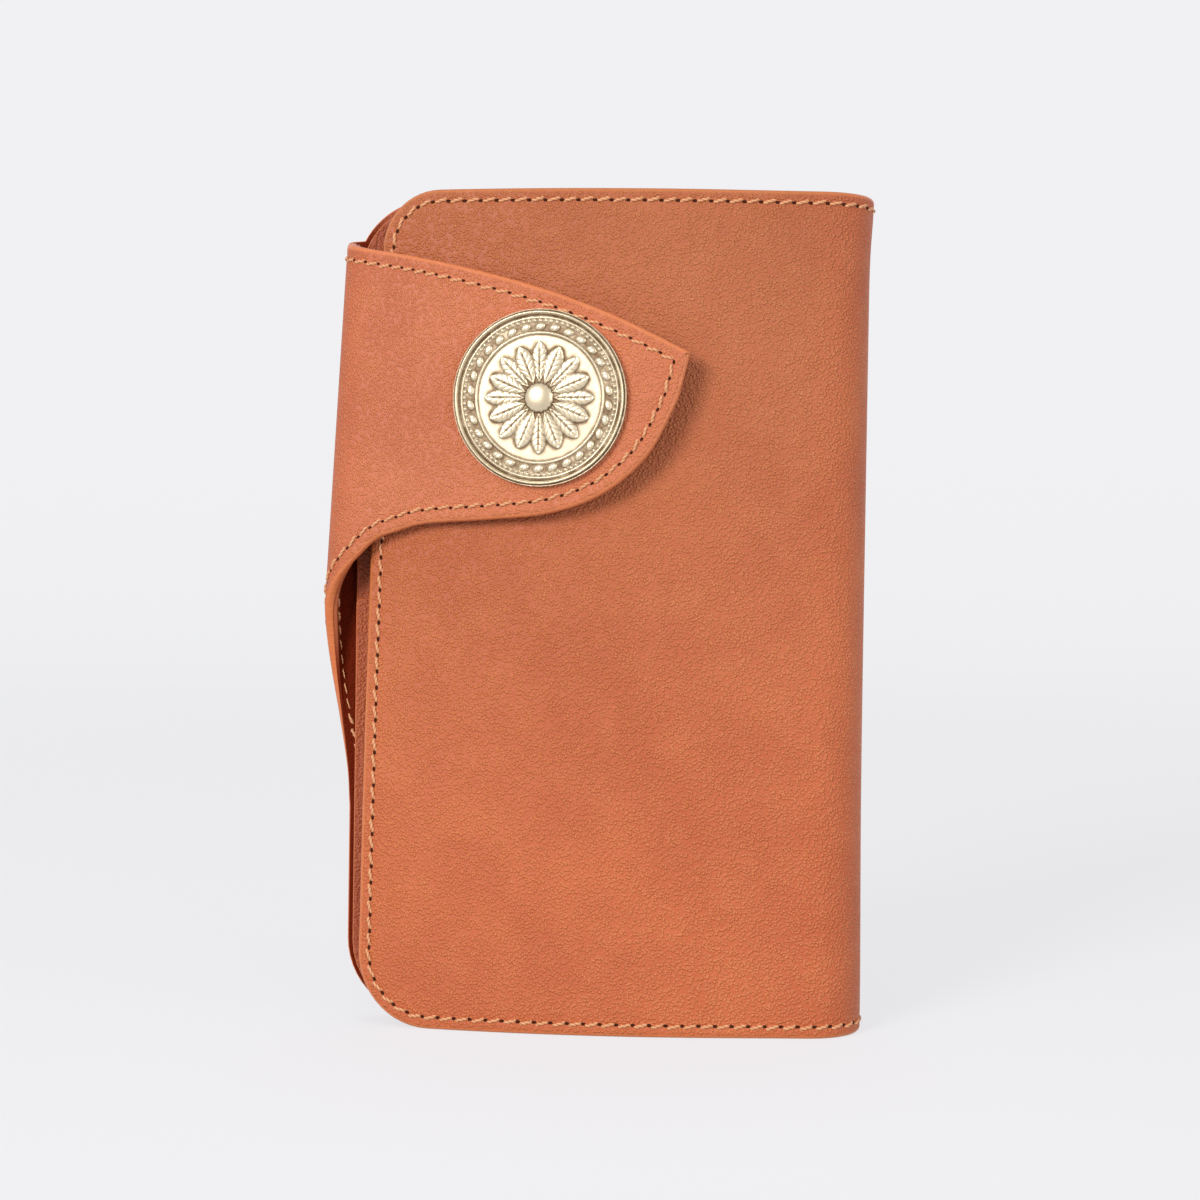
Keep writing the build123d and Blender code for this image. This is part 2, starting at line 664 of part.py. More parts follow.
def main():
    os.makedirs("parts", exist_ok=True)
    nodes = make_nodes()
    whole = Compound(children=[Compound(node.wrapped) for node in nodes.values()])
    bounds = whole.bounding_box()
    origin = Vector(
        (bounds.min.X + bounds.max.X) / 2, (bounds.min.Y + bounds.max.Y) / 2, bounds.min.Z
    )
    for name, node in nodes.items():
        export_step(Pos(-origin.X, -origin.Y, -origin.Z) * node, f"parts/{name}.step")
    spine_x = spine_fold_x()
    print("origin in the drawing", origin)
    print("spine axes", spine_x - origin.X, SPINE_AXIS_Y - origin.Y, -SPINE_AXIS_Y - origin.Y)
    print("strap middle", STRAP_MID - origin, "radius", STRAP_R)
    print("pull axis", Vector(ZIP_X, BAIL_Y, BAIL_Z) - origin)
    print("back face", BACK_Y - origin.Y)
    print("size", bounds.size)


main()
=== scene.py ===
import math

import bpy
import numpy as np
from mathutils import Matrix, Vector
from mathutils.geometry import delaunay_2d_cdt


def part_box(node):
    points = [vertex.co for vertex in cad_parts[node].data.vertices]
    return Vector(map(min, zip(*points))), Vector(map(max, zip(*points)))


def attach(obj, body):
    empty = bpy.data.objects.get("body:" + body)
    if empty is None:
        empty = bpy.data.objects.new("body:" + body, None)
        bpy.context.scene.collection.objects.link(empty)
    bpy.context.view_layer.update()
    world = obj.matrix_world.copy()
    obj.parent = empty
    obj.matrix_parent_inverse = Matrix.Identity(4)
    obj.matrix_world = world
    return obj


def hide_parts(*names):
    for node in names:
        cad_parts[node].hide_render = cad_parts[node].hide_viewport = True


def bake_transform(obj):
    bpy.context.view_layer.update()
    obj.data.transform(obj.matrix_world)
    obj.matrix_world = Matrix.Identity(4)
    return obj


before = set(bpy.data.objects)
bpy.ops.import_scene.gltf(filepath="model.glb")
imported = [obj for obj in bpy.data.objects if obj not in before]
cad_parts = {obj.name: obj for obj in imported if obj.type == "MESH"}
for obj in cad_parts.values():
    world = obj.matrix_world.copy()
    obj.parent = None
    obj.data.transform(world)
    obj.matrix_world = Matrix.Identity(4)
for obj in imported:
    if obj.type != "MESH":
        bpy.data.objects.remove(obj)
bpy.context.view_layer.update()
chance = np.random.default_rng(11)
scene = bpy.context.scene

# Lengths are in millimetres, and meshes are scaled to metres as they are made. The hide is
# one leather, laid out flat: Z is up, and U grows from the front cover's free edge round the
# spine, the back and the strap to the flap's point.
MM = 0.001


def circle(count):
    return np.linspace(0, 2 * math.pi, count, endpoint=False)


def lengths(rows):
    return np.linalg.norm(rows, axis=1)


def corners(node):
    low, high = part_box(node)
    return np.array(low) / MM, np.array(high) / MM


back_low, back_high = corners("back_cover")
front_low = corners("front_cover")[0]
spine_low, spine_high = corners("spine_leather")
strap_low, strap_high = corners("strap_leather")
card_low, card_high = corners("card_panel")
lining_low, lining_high = corners("back_lining")

HEIGHT = back_high[2]
HIDE = back_high[1] - back_low[1]
LINING = lining_high[1] - lining_low[1]
SPINE_R = (spine_high[1] - spine_low[1]) / 2
SPINE_MID = np.array([spine_low[0], (spine_high[1] + spine_low[1]) / 2])
BACK_Y = back_high[1]
BACK_LEFT = back_low[0]
STRAP_R = strap_high[0] - strap_low[0]
STRAP_MID = np.array([BACK_LEFT, BACK_Y - STRAP_R])
TIP_X = corners("flap_leather")[1][0]

CORNER = 12.0             # the front cover's upper corner
LOW_CORNER = 15.0         # its lower corner is worn rounder
BACK_CORNER = 16.5
LEAF_CORNER = BACK_CORNER - 1.5
FLAT_FRONT = 19.0         # the front cover is flat for this far from the spine's centre
FRONT_ARC = 230.0         # and then bulges with this radius
TILT = math.radians(13.6)          # the flap slopes in to the front cover
EASE_R = 64.6                      # the slope levels off with this radius
EASE_BEFORE_TIP = 15.0             # from here to the point
PAST_TIP = 8.0                     # the path runs on past the point
CUT = 20.0                # the strap's mesh takes in this much of the back cover
BEND_X = SPINE_MID[0] - FLAT_FRONT
FRONT_SWING = math.asin((BEND_X - front_low[0]) / FRONT_ARC)

LEAN_IN = 3.4             # the front cover's free edge is this much further in at the top
TWIST = 0.3               # and this much further back
PRESS = 1.9               # the strap's fold is pressed in by this much
PRESS_Z = 86.0            # above this height it is pressed in more and more
PRESS_SLOPE = 3.6 / 71
PRESS_FADE = (-4.0, 26.0)          # the press fades out over this much of the flap
TOP_FLARE, TOP_FLARE_REACH = 0.7, 9.0
LOW_FLARE, LOW_FLARE_REACH = 0.6, 36.0


# ---- the hide's path, seen from above ----
ARC_STEP, LINE_STEP = 0.1, 0.5     # spacing of the path's own points


def arc_points(middle, radius, start, turn):
    """Points and outward normals of an arc. Angles are in radians."""
    count = max(2, int(abs(turn) * radius / ARC_STEP))
    angles = start + turn * np.linspace(0, 1, count + 1)
    normals = np.stack([np.cos(angles), np.sin(angles)], axis=1)
    return np.array(middle) + radius * normals, normals


def line_points(first, last, normal):
    """Points and outward normals of a straight run."""
    count = max(2, int(math.dist(first, last) / LINE_STEP))
    share = np.linspace(0, 1, count + 1)[:, None]
    points = np.array(first) * (1 - share) + np.array(last) * share
    return points, np.tile(np.array(normal, float), (count + 1, 1))


def join_path(parts):
    """One path from its parts: distance along it, X, Y and the outward normal."""
    points = np.concatenate([p for p, n in parts])
    normals = np.concatenate([n for p, n in parts])
    step = lengths(np.diff(points, axis=0))
    keep = np.concatenate([[True], step > 1e-9])
    points, normals = points[keep], normals[keep]
    along = np.concatenate([[0], np.cumsum(lengths(np.diff(points, axis=0)))])
    return along, *points.T, *normals.T


def on_path(u):
    """Point and outward normal at each distance along the hide's path."""
    x, y, nx, ny = (np.interp(u, PATH[0], values) for values in PATH[1:])
    size = np.hypot(nx, ny)
    return x, y, nx / size, ny / size


def make_hide_path():
    """The outer face's path, from the front cover's free edge to past the flap's point."""
    arc_mid = (BEND_X, front_low[1] + FRONT_ARC)
    down = -math.pi / 2
    out = np.array([-math.sin(TILT), -math.cos(TILT)])
    ahead = np.array([math.cos(TILT), -math.sin(TILT)])
    strap_end = STRAP_MID + STRAP_R * out
    ease_start = strap_end + ahead * (TIP_X - EASE_BEFORE_TIP - strap_end[0]) / ahead[0]
    ease_mid = ease_start - out * EASE_R
    ease = arc_points(ease_mid, EASE_R, down - TILT, TILT)
    tail_end = ease[0][-1] + (PAST_TIP, 0)
    parts = [
        arc_points(arc_mid, FRONT_ARC, down - FRONT_SWING, FRONT_SWING),
        line_points((BEND_X, front_low[1]), (SPINE_MID[0], front_low[1]), (0, -1)),
        arc_points(SPINE_MID, SPINE_R, down, math.pi),
        line_points((SPINE_MID[0], BACK_Y), (BACK_LEFT, BACK_Y), (0, 1)),
        arc_points(STRAP_MID, STRAP_R, math.pi / 2, math.pi - TILT),
        line_points(strap_end, ease_start, out),
        ease,
        line_points(ease[0][-1], tail_end, (0, -1)),
    ]
    return join_path(parts)


PATH = make_hide_path()


def u_at(x, low_u, high_u):
    """Distance along the hide at which it passes above x, between two distances."""
    u = np.linspace(low_u, high_u, 4000)
    px = on_path(u)[0]
    return float(u[np.argmin(np.abs(px - x))])


FRONT_LENGTH = FRONT_ARC * FRONT_SWING
U_FRONT_END = FRONT_LENGTH + SPINE_MID[0] - BEND_X
U_SPINE_MID = U_FRONT_END + SPINE_R * math.pi / 2
U_SPINE_END = U_FRONT_END + SPINE_R * math.pi
U_STRAP = U_SPINE_END + SPINE_MID[0] - BACK_LEFT
U_CUT = U_STRAP - CUT
STRAP_TURN = math.pi - TILT
U_STRAP_MID = U_STRAP + STRAP_R * STRAP_TURN / 2
U_FLAP = U_STRAP + STRAP_R * STRAP_TURN
U_TIP = u_at(TIP_X, U_FLAP, PATH[0][-1])


def ramp(value, low, high):
    """0 below low, 1 above high, and smooth between them."""
    t = np.clip((value - low) / (high - low), 0, 1)
    return t * t * (3 - 2 * t)


def place_on_hide(u, z, h):
    """Row-frame points for places on the laid-out hide, h out from its outer face."""
    x, y, nx, ny = on_path(u)
    px, py = x + nx * h, y + ny * h
    # The front cover is slightly twisted: its upper free corner lies further back.
    away = np.clip((U_FRONT_END - FLAT_FRONT - u) / FRONT_LENGTH, 0, 1) ** 2
    py = py + TWIST * away * (z - HEIGHT / 2) / (HEIGHT / 2)
    # The strap is pressed in all along its fold, and most at its upper end.
    fade = 1 - ramp(u, U_FLAP + PRESS_FADE[0], U_FLAP + PRESS_FADE[1])
    pressed = ramp(u, U_STRAP, U_STRAP_MID) * fade
    px = px + pressed * (PRESS + PRESS_SLOPE * np.clip(z - PRESS_Z, 0, HEIGHT - PRESS_Z))
    # The spine flares a little at its two ends.
    spine = ramp(u, U_FRONT_END - 6, U_SPINE_MID) * (1 - ramp(u, U_SPINE_MID, U_SPINE_END + 6))
    flare = TOP_FLARE * np.exp(-(((HEIGHT - z) / TOP_FLARE_REACH) ** 2))
    flare = flare + LOW_FLARE * np.exp(-((z / LOW_FLARE_REACH) ** 2))
    px = px + spine * flare
    return np.stack([px, py, z], axis=1)


# ---- outlines ----
EDGE_STEP = 0.8           # spacing of an outline's points along free edges
SEAM_STEP = 1.5           # and where the hide is cut


def split_fine(points, step):
    """The same polyline with long runs split up."""
    result = []
    for first, last in zip(points[:-1], points[1:]):
        count = max(1, int(math.ceil(math.dist(first, last) / step)))
        for k in range(count):
            t = k / count
            result.append((first[0] * (1 - t) + last[0] * t, first[1] * (1 - t) + last[1] * t))
    result.append(tuple(points[-1]))
    return result


def corner_arc(middle, radius, start, end, count=14):
    """Points of an arc. Angles are in degrees."""
    angles = np.radians(np.linspace(start, end, count))
    return [(middle[0] + radius * math.cos(a), middle[1] + radius * math.sin(a)) for a in angles]


def smooth_curve(points, count=14):
    """A smooth curve through a few points."""
    p = [np.array(q, float) for q in points]
    p = [2 * p[0] - p[1]] + p + [2 * p[-1] - p[-2]]
    result = []
    for k in range(1, len(p) - 2):
        for t in np.linspace(0, 1, count, endpoint=False):
            a, b, c, d = p[k - 1], p[k], p[k + 1], p[k + 2]
            q = 0.5 * (2 * b + (c - a) * t + (2 * a - 5 * b + 4 * c - d) * t * t
                       + (3 * b - a - 3 * c + d) * t ** 3)
            result.append((q[0], q[1]))
    result.append(tuple(p[-2]))
    return result


def lean(z):
    """How far the front cover's free edge lies in at a height."""
    return LEAN_IN * min(1.0, max(0.0, z / (HEIGHT - CORNER))) ** 1.6


def u_on_flap(x):
    return u_at(x, U_FLAP - 1, PATH[0][-1])


BACK_CORNER_U = U_STRAP - BACK_CORNER
TIP = (U_TIP, 136.8)


def free_edge(low_z, high_z, count=12):
    return [(lean(z), z) for z in np.linspace(low_z, high_z, count)]


def lower_edge():
    """From halfway up the front's free edge, along the bottom and the strap's cut, to the tip."""
    edge = free_edge(HEIGHT / 2, LOW_CORNER)[:-1]
    edge += corner_arc((LOW_CORNER, LOW_CORNER), LOW_CORNER, 180, 270)
    edge += [(BACK_CORNER_U, 0.0)]
    edge += corner_arc((BACK_CORNER_U, BACK_CORNER), BACK_CORNER, 270, 360)[1:]
    strap = [(U_STRAP + away, z) for away, z in (
        (0.0, 44.0), (0.9, 53.0), (4.2, 66.0), (9.0, 78.0), (14.5, 88.0))]
    flap = [(u_on_flap(x), z) for x, z in (
        (-45.7, 99.1), (-41.0, 100.8), (-34.4, 102.4), (-21.0, 103.4), (-8.8, 104.8),
        (1.5, 108.7), (10.0, 116.0), (15.4, 125.7), (17.0, 130.4))]
    return edge + smooth_curve(strap + [(U_FLAP + 0.5, 95.0)] + flap + [TIP])


def upper_edge():
    """From halfway up the front's free edge, along the top and the flap's crest, to the tip."""
    top = HEIGHT - CORNER
    edge = free_edge(HEIGHT / 2, top)[:-1]
    edge += corner_arc((CORNER + lean(top), top), CORNER, 180, 90)
    shoulder = corner_arc((BACK_CORNER_U, HEIGHT - BACK_CORNER), BACK_CORNER, 90, 27)
    edge += [(BACK_CORNER_U, HEIGHT)] + shoulder[1:]
    crest = [(u_on_flap(x), z) for x, z in (
        (-39.9, 156.3), (-29.0, 154.4), (-18.3, 151.7), (-7.7, 148.4), (2.9, 144.2),
        (10.8, 140.5))]
    start = [shoulder[-1], (U_STRAP + 8.0, 160.0), (U_FLAP, 157.8)]
    return edge + smooth_curve(start + crest + [TIP])[1:]


def clip_edge(edge, low_u, high_u):
    """The part of an edge between two distances along the hide, ends included."""
    result = []
    for first, last in zip(edge[:-1], edge[1:]):
        for limit in (low_u, high_u):
            if first[0] < limit < last[0]:
                t = (limit - first[0]) / (last[0] - first[0])
                result.append((limit, first[1] + t * (last[1] - first[1])))
        if low_u <= last[0] <= high_u:
            result.append(last)
    if low_u <= edge[0][0] <= high_u:
        result.insert(0, edge[0])
    return result


def piece_loop(low_u, high_u, edges, seam_low, seam_high):
    """Closed outline of the hide between two distances, and which points lie on its cuts."""
    lower = clip_edge(edges[0], low_u, high_u)
    upper = clip_edge(edges[1], low_u, high_u)
    loop = split_fine(lower, EDGE_STEP)
    if seam_high:
        loop += split_fine([lower[-1], upper[-1]], SEAM_STEP)[1:]
    loop += split_fine(upper[::-1], EDGE_STEP)[1:]
    if seam_low:
        loop += split_fine([upper[0], lower[0]], SEAM_STEP)[1:-1]
    else:
        loop = loop[:-1]
    points = np.array(loop)
    cuts = [u for u, is_cut in ((low_u, seam_low), (high_u, seam_high)) if is_cut]
    return points, np.any([np.abs(points[:, 0] - u) < 1e-6 for u in cuts], axis=0)


def rounded_loop(low, high, radii):
    """Outline of a leaf, anticlockwise from its lower left corner."""
    centres = [
        (low[0] + radii[0], low[1] + radii[0], radii[0], 180),
        (high[0] - radii[1], low[1] + radii[1], radii[1], 270),
        (high[0] - radii[2], high[1] - radii[2], radii[2], 0),
        (low[0] + radii[3], high[1] - radii[3], radii[3], 90),
    ]
    loop = []
    for x, z, radius, start in centres:
        loop += corner_arc((x, z), radius, start, start + 90, 10)
    loop.append(loop[0])
    return np.array(split_fine(loop, EDGE_STEP)[:-1])


def loop_inward(loop, on_seam):
    """Inward shift of each outline point for one millimetre of inset. Cuts don't move."""
    ahead = np.roll(loop, -1, axis=0) - loop
    ahead /= lengths(ahead)[:, None] + 1e-12
    left = np.stack([-ahead[:, 1], ahead[:, 0]], axis=1)
    seam_run = on_seam & np.roll(on_seam, -1)
    left[seam_run] = 0
    before = np.roll(left, 1, axis=0)
    dot = np.sum(left * before, axis=1)
    both = (~seam_run) & (~np.roll(seam_run, 1))
    shift = left + before
    shift[both] /= np.maximum(1 + dot[both], 0.45)[:, None]
    return shift, seam_run


def edge_distance(points, loops):
    """Distance from each point to the nearest free edge."""
    nearest = np.full(len(points), 1e9)
    for loop, on_seam in loops:
        following = np.roll(loop, -1, axis=0)
        free = ~(on_seam & np.roll(on_seam, -1))
        for a, b in zip(np.array_split(loop[free], 8), np.array_split(following[free], 8)):
            if not len(a):
                continue
            run = b - a
            length = np.sum(run * run, axis=1) + 1e-12
            t = np.einsum("ijk,jk->ij", points[:, None] - a[None], run) / length
            t = np.clip(t, 0, 1)
            gap = points[:, None] - (a[None] + t[..., None] * run[None])
            nearest = np.minimum(nearest, np.sqrt((gap ** 2).sum(2)).min(1))
    return nearest


def inside(points, loop):
    """Whether each point lies inside an outline."""
    x, z = points.T
    result = np.zeros(len(points), bool)
    for (x1, z1), (x2, z2) in zip(np.roll(loop, 1, axis=0), loop):
        if z1 != z2:
            result ^= ((z1 > z) != (z2 > z)) & (x < (x2 - x1) * (z - z1) / (z2 - z1) + x1)
    return result


# ---- sheets of leather ----
BEND_STEP = 0.55          # spacing across the bends
CUT_GAP = 0.25            # no inner point comes this close to a cut's own points
CLOSEST = 0.34            # inner points are thinned out to this
PLAIN_RINGS = [1.3]       # rows of points along the edge, by distance in
FINE_RINGS = [1.3, 2.0, 2.6, 3.2, 4.0]
GROOVE_IN, GROOVE_HALF = 2.6, 0.55
CREASE_IN, CREASE_HALF = 1.7, 0.28
LAYOUT_SCALE = 100.0      # millimetres to one unit of the layout's UV map


def new_mesh(name, vertices, faces, materials, indices=None):
    """A smooth-shaded mesh object from places in millimetres."""
    mesh = bpy.data.meshes.new(name)
    mesh.from_pydata((np.asarray(vertices) * MM).tolist(), [], [tuple(f) for f in faces])
    for material in materials:
        mesh.materials.append(material)
    if indices is not None:
        mesh.polygons.foreach_set("material_index", np.asarray(indices, np.int32))
    mesh.polygons.foreach_set("use_smooth", np.ones(len(mesh.polygons), bool))
    mesh.update()
    piece = bpy.data.objects.new(name, mesh)
    scene.collection.objects.link(piece)
    return piece


def add_layout(piece, u, z, values):
    """Stores the laid-out place of each vertex as a UV map, and other values as attributes."""
    mesh = piece.data
    layer = mesh.uv_layers.new(name="layout")
    corner_vertex = np.zeros(len(mesh.loops), np.int32)
    mesh.loops.foreach_get("vertex_index", corner_vertex)
    uv = np.stack([u, z], axis=1)[corner_vertex] / LAYOUT_SCALE
    layer.data.foreach_set("uv", uv.astype(np.float32).ravel())
    for name, value in values.items():
        attribute = mesh.attributes.new(name, "FLOAT", "POINT")
        attribute.data.foreach_set("value", np.asarray(value, np.float32))


def staggered_grid(outline, bend_spans, spacing):
    """A grid over an outline's box, closer across the bends, with every other row shifted."""
    low, high = outline.min(0), outline.max(0)
    across = [low[0]]
    while across[-1] < high[0]:
        fine = any(a - 1 < across[-1] < b + 1 for a, b in bend_spans)
        across.append(across[-1] + (BEND_STEP if fine else spacing))
    up = np.arange(low[1], high[1], spacing)
    return np.array([(u + 0.25 * (row % 2), z) for row, z in enumerate(up) for u in across])


def within(points, outlines):
    """Whether each point lies inside the first outline and outside the others."""
    result = inside(points, outlines[0])
    for window in outlines[1:]:
        result &= ~inside(points, window)
    return result


def inner_points(loops, bend_spans, spacing, rings):
    """Points inside a sheet's outline that its faces are built on."""
    grid = staggered_grid(loops[0][0], bend_spans, spacing)
    chosen = [grid[edge_distance(grid, loops) > max(rings) + 1.0]]
    for loop, on_cut in loops:
        shift = loop_inward(loop, on_cut)[0]
        for inset in rings:
            ring = (loop + shift * inset)[~on_cut]
            chosen.append(ring[edge_distance(ring, loops) > inset * 0.97])
    points = np.concatenate(chosen)
    keep = within(points, [loop for loop, _ in loops])
    for u in np.unique(np.concatenate([loop[on_cut, 0] for loop, on_cut in loops])):
        keep &= np.abs(points[:, 0] - u) > CUT_GAP
    points = points[keep]
    first = np.unique(np.round(points / CLOSEST).astype(int), axis=0, return_index=True)[1]
    return points[np.sort(first)]


def edge_profile(top, bottom, rounding, under, shrink):
    """Inset and height of each row round a sheet's edge, from its top to its underside."""
    quarter = np.radians(np.linspace(0, 90, 5))
    upper = [(shrink + rounding * (1 - math.sin(a)), top - rounding * (1 - math.cos(a)))
             for a in quarter]
    return upper + [(shrink + under * (1 - math.cos(a)), bottom + under * (1 - math.sin(a)))
                    for a in quarter]


def triangulate(outlines, flat):
    """Points and triangles that fill the outlines, and where each outline's points went."""
    edges, starts, total = [], [], 0
    for outline in outlines:
        count = len(outline)
        edges += [(total + k, total + (k + 1) % count) for k in range(count)]
        starts.append(total)
        total += count
    everything = [Vector(p) for p in np.concatenate(list(outlines) + [flat])]
    made = delaunay_2d_cdt(everything, edges, [], 0, 1e-5)
    points = np.array([(v.x, v.y) for v in made[0]])
    triangles = np.array([f for f in made[2] if len(f) == 3])
    triangles = triangles[within(points[triangles].mean(1), outlines)]
    first, second, third = (points[triangles[:, k]] for k in range(3))
    turn = np.cross(second - first, third - first)
    triangles[turn < 0] = triangles[turn < 0][:, ::-1]
    place_of = {}
    for index, sources in enumerate(made[3]):
        for source in sources:
            place_of.setdefault(source, index)
    rows = [[place_of[start + k] for k in range(len(outline))]
            for start, outline in zip(starts, outlines)]
    return points, triangles, rows


def join_rows(rows, on_cut_run):
    """Faces between rows of points that run round an edge, left open along a cut."""
    faces = []
    count = len(rows[0])
    for upper, lower in zip(rows[:-1], rows[1:]):
        for k in range(count):
            if not on_cut_run[k]:
                n = (k + 1) % count
                faces.append((upper[k], lower[k], lower[n], upper[n]))
    return faces


def make_sheet(name, place, loops, top, bottom, materials, rounding=0.5, under=0.2, shrink=0.0,
               groove=0.0, relief=None, bend_spans=(), spacing=2.4, u_shift=0.0, crease=0.0):
    """A leather sheet with rounded edges. Heights are measured out from the outer face."""
    rings = FINE_RINGS if (groove or crease) else PLAIN_RINGS
    profile = edge_profile(top, bottom, rounding, under, shrink)
    shifts = [loop_inward(*loop) for loop in loops]
    outlines = [loop + shift * profile[0][0] for (loop, _), (shift, _) in zip(loops, shifts)]
    points, triangles, first_rows = triangulate(
        outlines, inner_points(loops, bend_spans, spacing, rings))
    near = edge_distance(points, loops)
    heights = np.full(len(points), float(top))
    heights -= groove * np.exp(-((near - GROOVE_IN) / GROOVE_HALF) ** 2)
    heights -= crease * np.exp(-((near - CREASE_IN) / CREASE_HALF) ** 2)
    parts = [(points, heights, near, 0.0)]
    all_rows = []
    total = len(points)
    underside = points.copy()
    for (loop, _), (shift, _), first_row in zip(loops, shifts, first_rows):
        rows = [first_row]
        for inset, height in profile[1:-1]:
            rows.append(list(range(total, total + len(loop))))
            parts.append((loop + shift * inset, height, 0.0, 1.0))
            total += len(loop)
        all_rows.append(rows)
        underside[first_row] = loop + shift * profile[-1][0]
    parts.append((underside, bottom, near, 0.0))
    faces = [tuple(t) for t in triangles] + [tuple(t) for t in triangles[:, ::-1] + total]
    kinds = [0] * len(triangles) + [1] * len(triangles)
    for rows, (_, cut_run) in zip(all_rows, shifts):
        sides = join_rows(rows + [[total + k for k in rows[0]]], cut_run)
        faces += sides
        kinds += [0] * len(sides)
    u, z = np.concatenate([part[0] for part in parts]).T
    h, edge, rim = (np.concatenate([np.broadcast_to(part[k], len(part[0])) for part in parts])
                    for k in (1, 2, 3))
    if relief is not None:
        h = h + relief(u, z)
    piece = new_mesh(name, place(u, z, h), faces, materials,
                     kinds if len(materials) > 1 else None)
    add_layout(piece, u + u_shift, z, {"edge": edge, "rim": rim})
    return piece


# ---- stitches ----
PITCH = 3.3
THREAD_R = 0.32
STITCH_SHARE = 0.88       # a stitch's length as a share of its pitch
STITCH_RISE, STITCH_SINK = 0.14, 0.55      # the thread's height at its middle and its dip
STITCH_TAPER = 0.09       # share of its length over which each end thins
TWISTS = 1.4              # turns of the two plies in one stitch
PLY_DEPTH = 0.2
HOLE_LONG, HOLE_WIDE = 0.56, 0.5
SLANT = math.radians(15)
AROUND, LENGTHWISE, HOLE_SIDES = 9, 13, 10
THREAD_FACES = [(a + k, a + n, a + n + AROUND, a + k + AROUND)
                for a in range(0, AROUND * (LENGTHWISE - 1), AROUND)
                for k, n in zip(range(AROUND), [*range(1, AROUND), 0])]
HOLE_FACES = [(k, (k + 1) % HOLE_SIDES, HOLE_SIDES) for k in range(HOLE_SIDES)]


def free_runs(cut_run):
    """Runs of outline points along the free edges."""
    count = len(cut_run)
    free = ~cut_run
    start = 0
    if cut_run.any():
        start = next(k for k in range(count) if free[k] and not free[k - 1])
    runs, run = [], []
    for step in range(count):
        k = (start + step) % count
        if free[k] or (run and free[k - 1]):
            run.append(k)
        else:
            runs.append(run)
            run = []
    runs.append(run)
    return [run for run in runs if len(run) > 1]


def seam_line(loop, on_cut, inset):
    """The lines of a seam: the outline's free edges moved in."""
    shift, cut_run = loop_inward(loop, on_cut)
    lines = []
    for run in free_runs(cut_run):
        points = loop[run] + shift[run] * inset
        points = points[edge_distance(points, [(loop, on_cut)]) > inset * 0.985]
        if not cut_run.any():
            points = np.concatenate([points, points[:1]])
        lines.append(points)
    return lines


def stitch_places(line):
    """Middle and direction of each stitch along a line, its pitch, and the holes."""
    step = lengths(np.diff(line, axis=0))
    along = np.concatenate([[0], np.cumsum(step)])
    count = max(1, int(round(along[-1] / PITCH)))
    pitch = along[-1] / count

    def on_line(distance):
        return np.stack([np.interp(distance, along, line[:, k]) for k in (0, 1)], axis=1)

    middles = (np.arange(count) + 0.5) * pitch
    ahead = on_line(middles + pitch * 0.4) - on_line(middles - pitch * 0.4)
    ahead /= lengths(ahead)[:, None]
    return on_line(middles), ahead, pitch, on_line(np.arange(count + 1) * pitch)


def stitch_points(middle, ahead, pitch, turn):
    """Places and ply pattern of one twisted stitch, as rows round its length."""
    angle = circle(AROUND)
    share = np.linspace(0, 1, LENGTHWISE)
    turn = turn + chance.normal(0, 0.03)
    c, s = math.cos(turn), math.sin(turn)
    direction = np.array([ahead[0] * c - ahead[1] * s, ahead[0] * s + ahead[1] * c])
    across = np.array([-direction[1], direction[0]])
    length = pitch * STITCH_SHARE + chance.normal(0, 0.03)
    centre = middle + chance.normal(0, 0.04, 2)
    run = (share - 0.5) * length
    lift = STITCH_RISE - STITCH_SINK * np.abs(2 * share - 1) ** 4
    ends = np.clip(np.minimum(share, 1 - share) / STITCH_TAPER, 0, 1)
    thick = THREAD_R * (0.55 + 0.45 * np.sqrt(ends)) * (1 + chance.normal(0, 0.04))
    spin = share * 2 * math.pi * TWISTS + chance.uniform(0, 6)
    plies = np.cos(2 * (angle[None] - spin[:, None]))
    r = thick[:, None] * (1 + PLY_DEPTH * plies)
    off = r * np.cos(angle)[None]
    rise = lift[:, None] + r * np.sin(angle)[None]
    u, z = (centre[k] + run[:, None] * direction[k] + off * across[k] for k in (0, 1))
    return u.ravel(), z.ravel(), rise.ravel(), plies.ravel()


def make_stitches(name, place, lines, height, side=1):
    """Twisted waxed thread, stitch by stitch, with a flat dark disc of painted shade standing for
    the hole where each one ends.
    """
    ring = circle(HOLE_SIDES)
    parts, faces, kinds = [], [], []

    def add(u, z, rise, plies, shapes, kind):
        start = sum(len(part[0]) for part in parts)
        parts.append((u, z, height + side * rise, plies))
        faces.extend(tuple(start + k for k in shape)[::side] for shape in shapes)
        kinds.extend([kind] * len(shapes))

    for line in lines:
        middles, ahead, pitch, holes = stitch_places(np.asarray(line))
        for middle, direction in zip(middles, ahead):
            add(*stitch_points(middle, direction, pitch, side * SLANT), THREAD_FACES, 0)
        tangent = np.gradient(holes, axis=0)
        tangent /= lengths(tangent)[:, None] + 1e-9
        # Each hole is a flat dark disc: painted shade.
        for hole, t in zip(holes, tangent):
            across = np.array([-t[1], t[0]])
            rim = hole + np.outer(np.cos(ring) * HOLE_LONG, t)
            rim = rim + np.outer(np.sin(ring) * HOLE_WIDE, across)
            rise = np.append(np.zeros(HOLE_SIDES), 0.06)
            add(*np.vstack([rim, hole]).T, rise, np.zeros(HOLE_SIDES + 1), HOLE_FACES, 1)
    u, z, h, ply = (np.concatenate(values) for values in zip(*parts))
    piece = new_mesh(name, place(u, z, h), faces, [waxed_thread, hole_shade], kinds)
    add_layout(piece, u, z, {"ply": ply})
    return piece


# ---- materials ----
def srgb(red, green, blue):
    """A display colour, given as 0 to 255, as linear values."""
    values = [c / 255 for c in (red, green, blue)]
    return tuple(c / 12.92 if c <= 0.04045 else ((c + 0.055) / 1.055) ** 2.4 for c in values) + (1,)


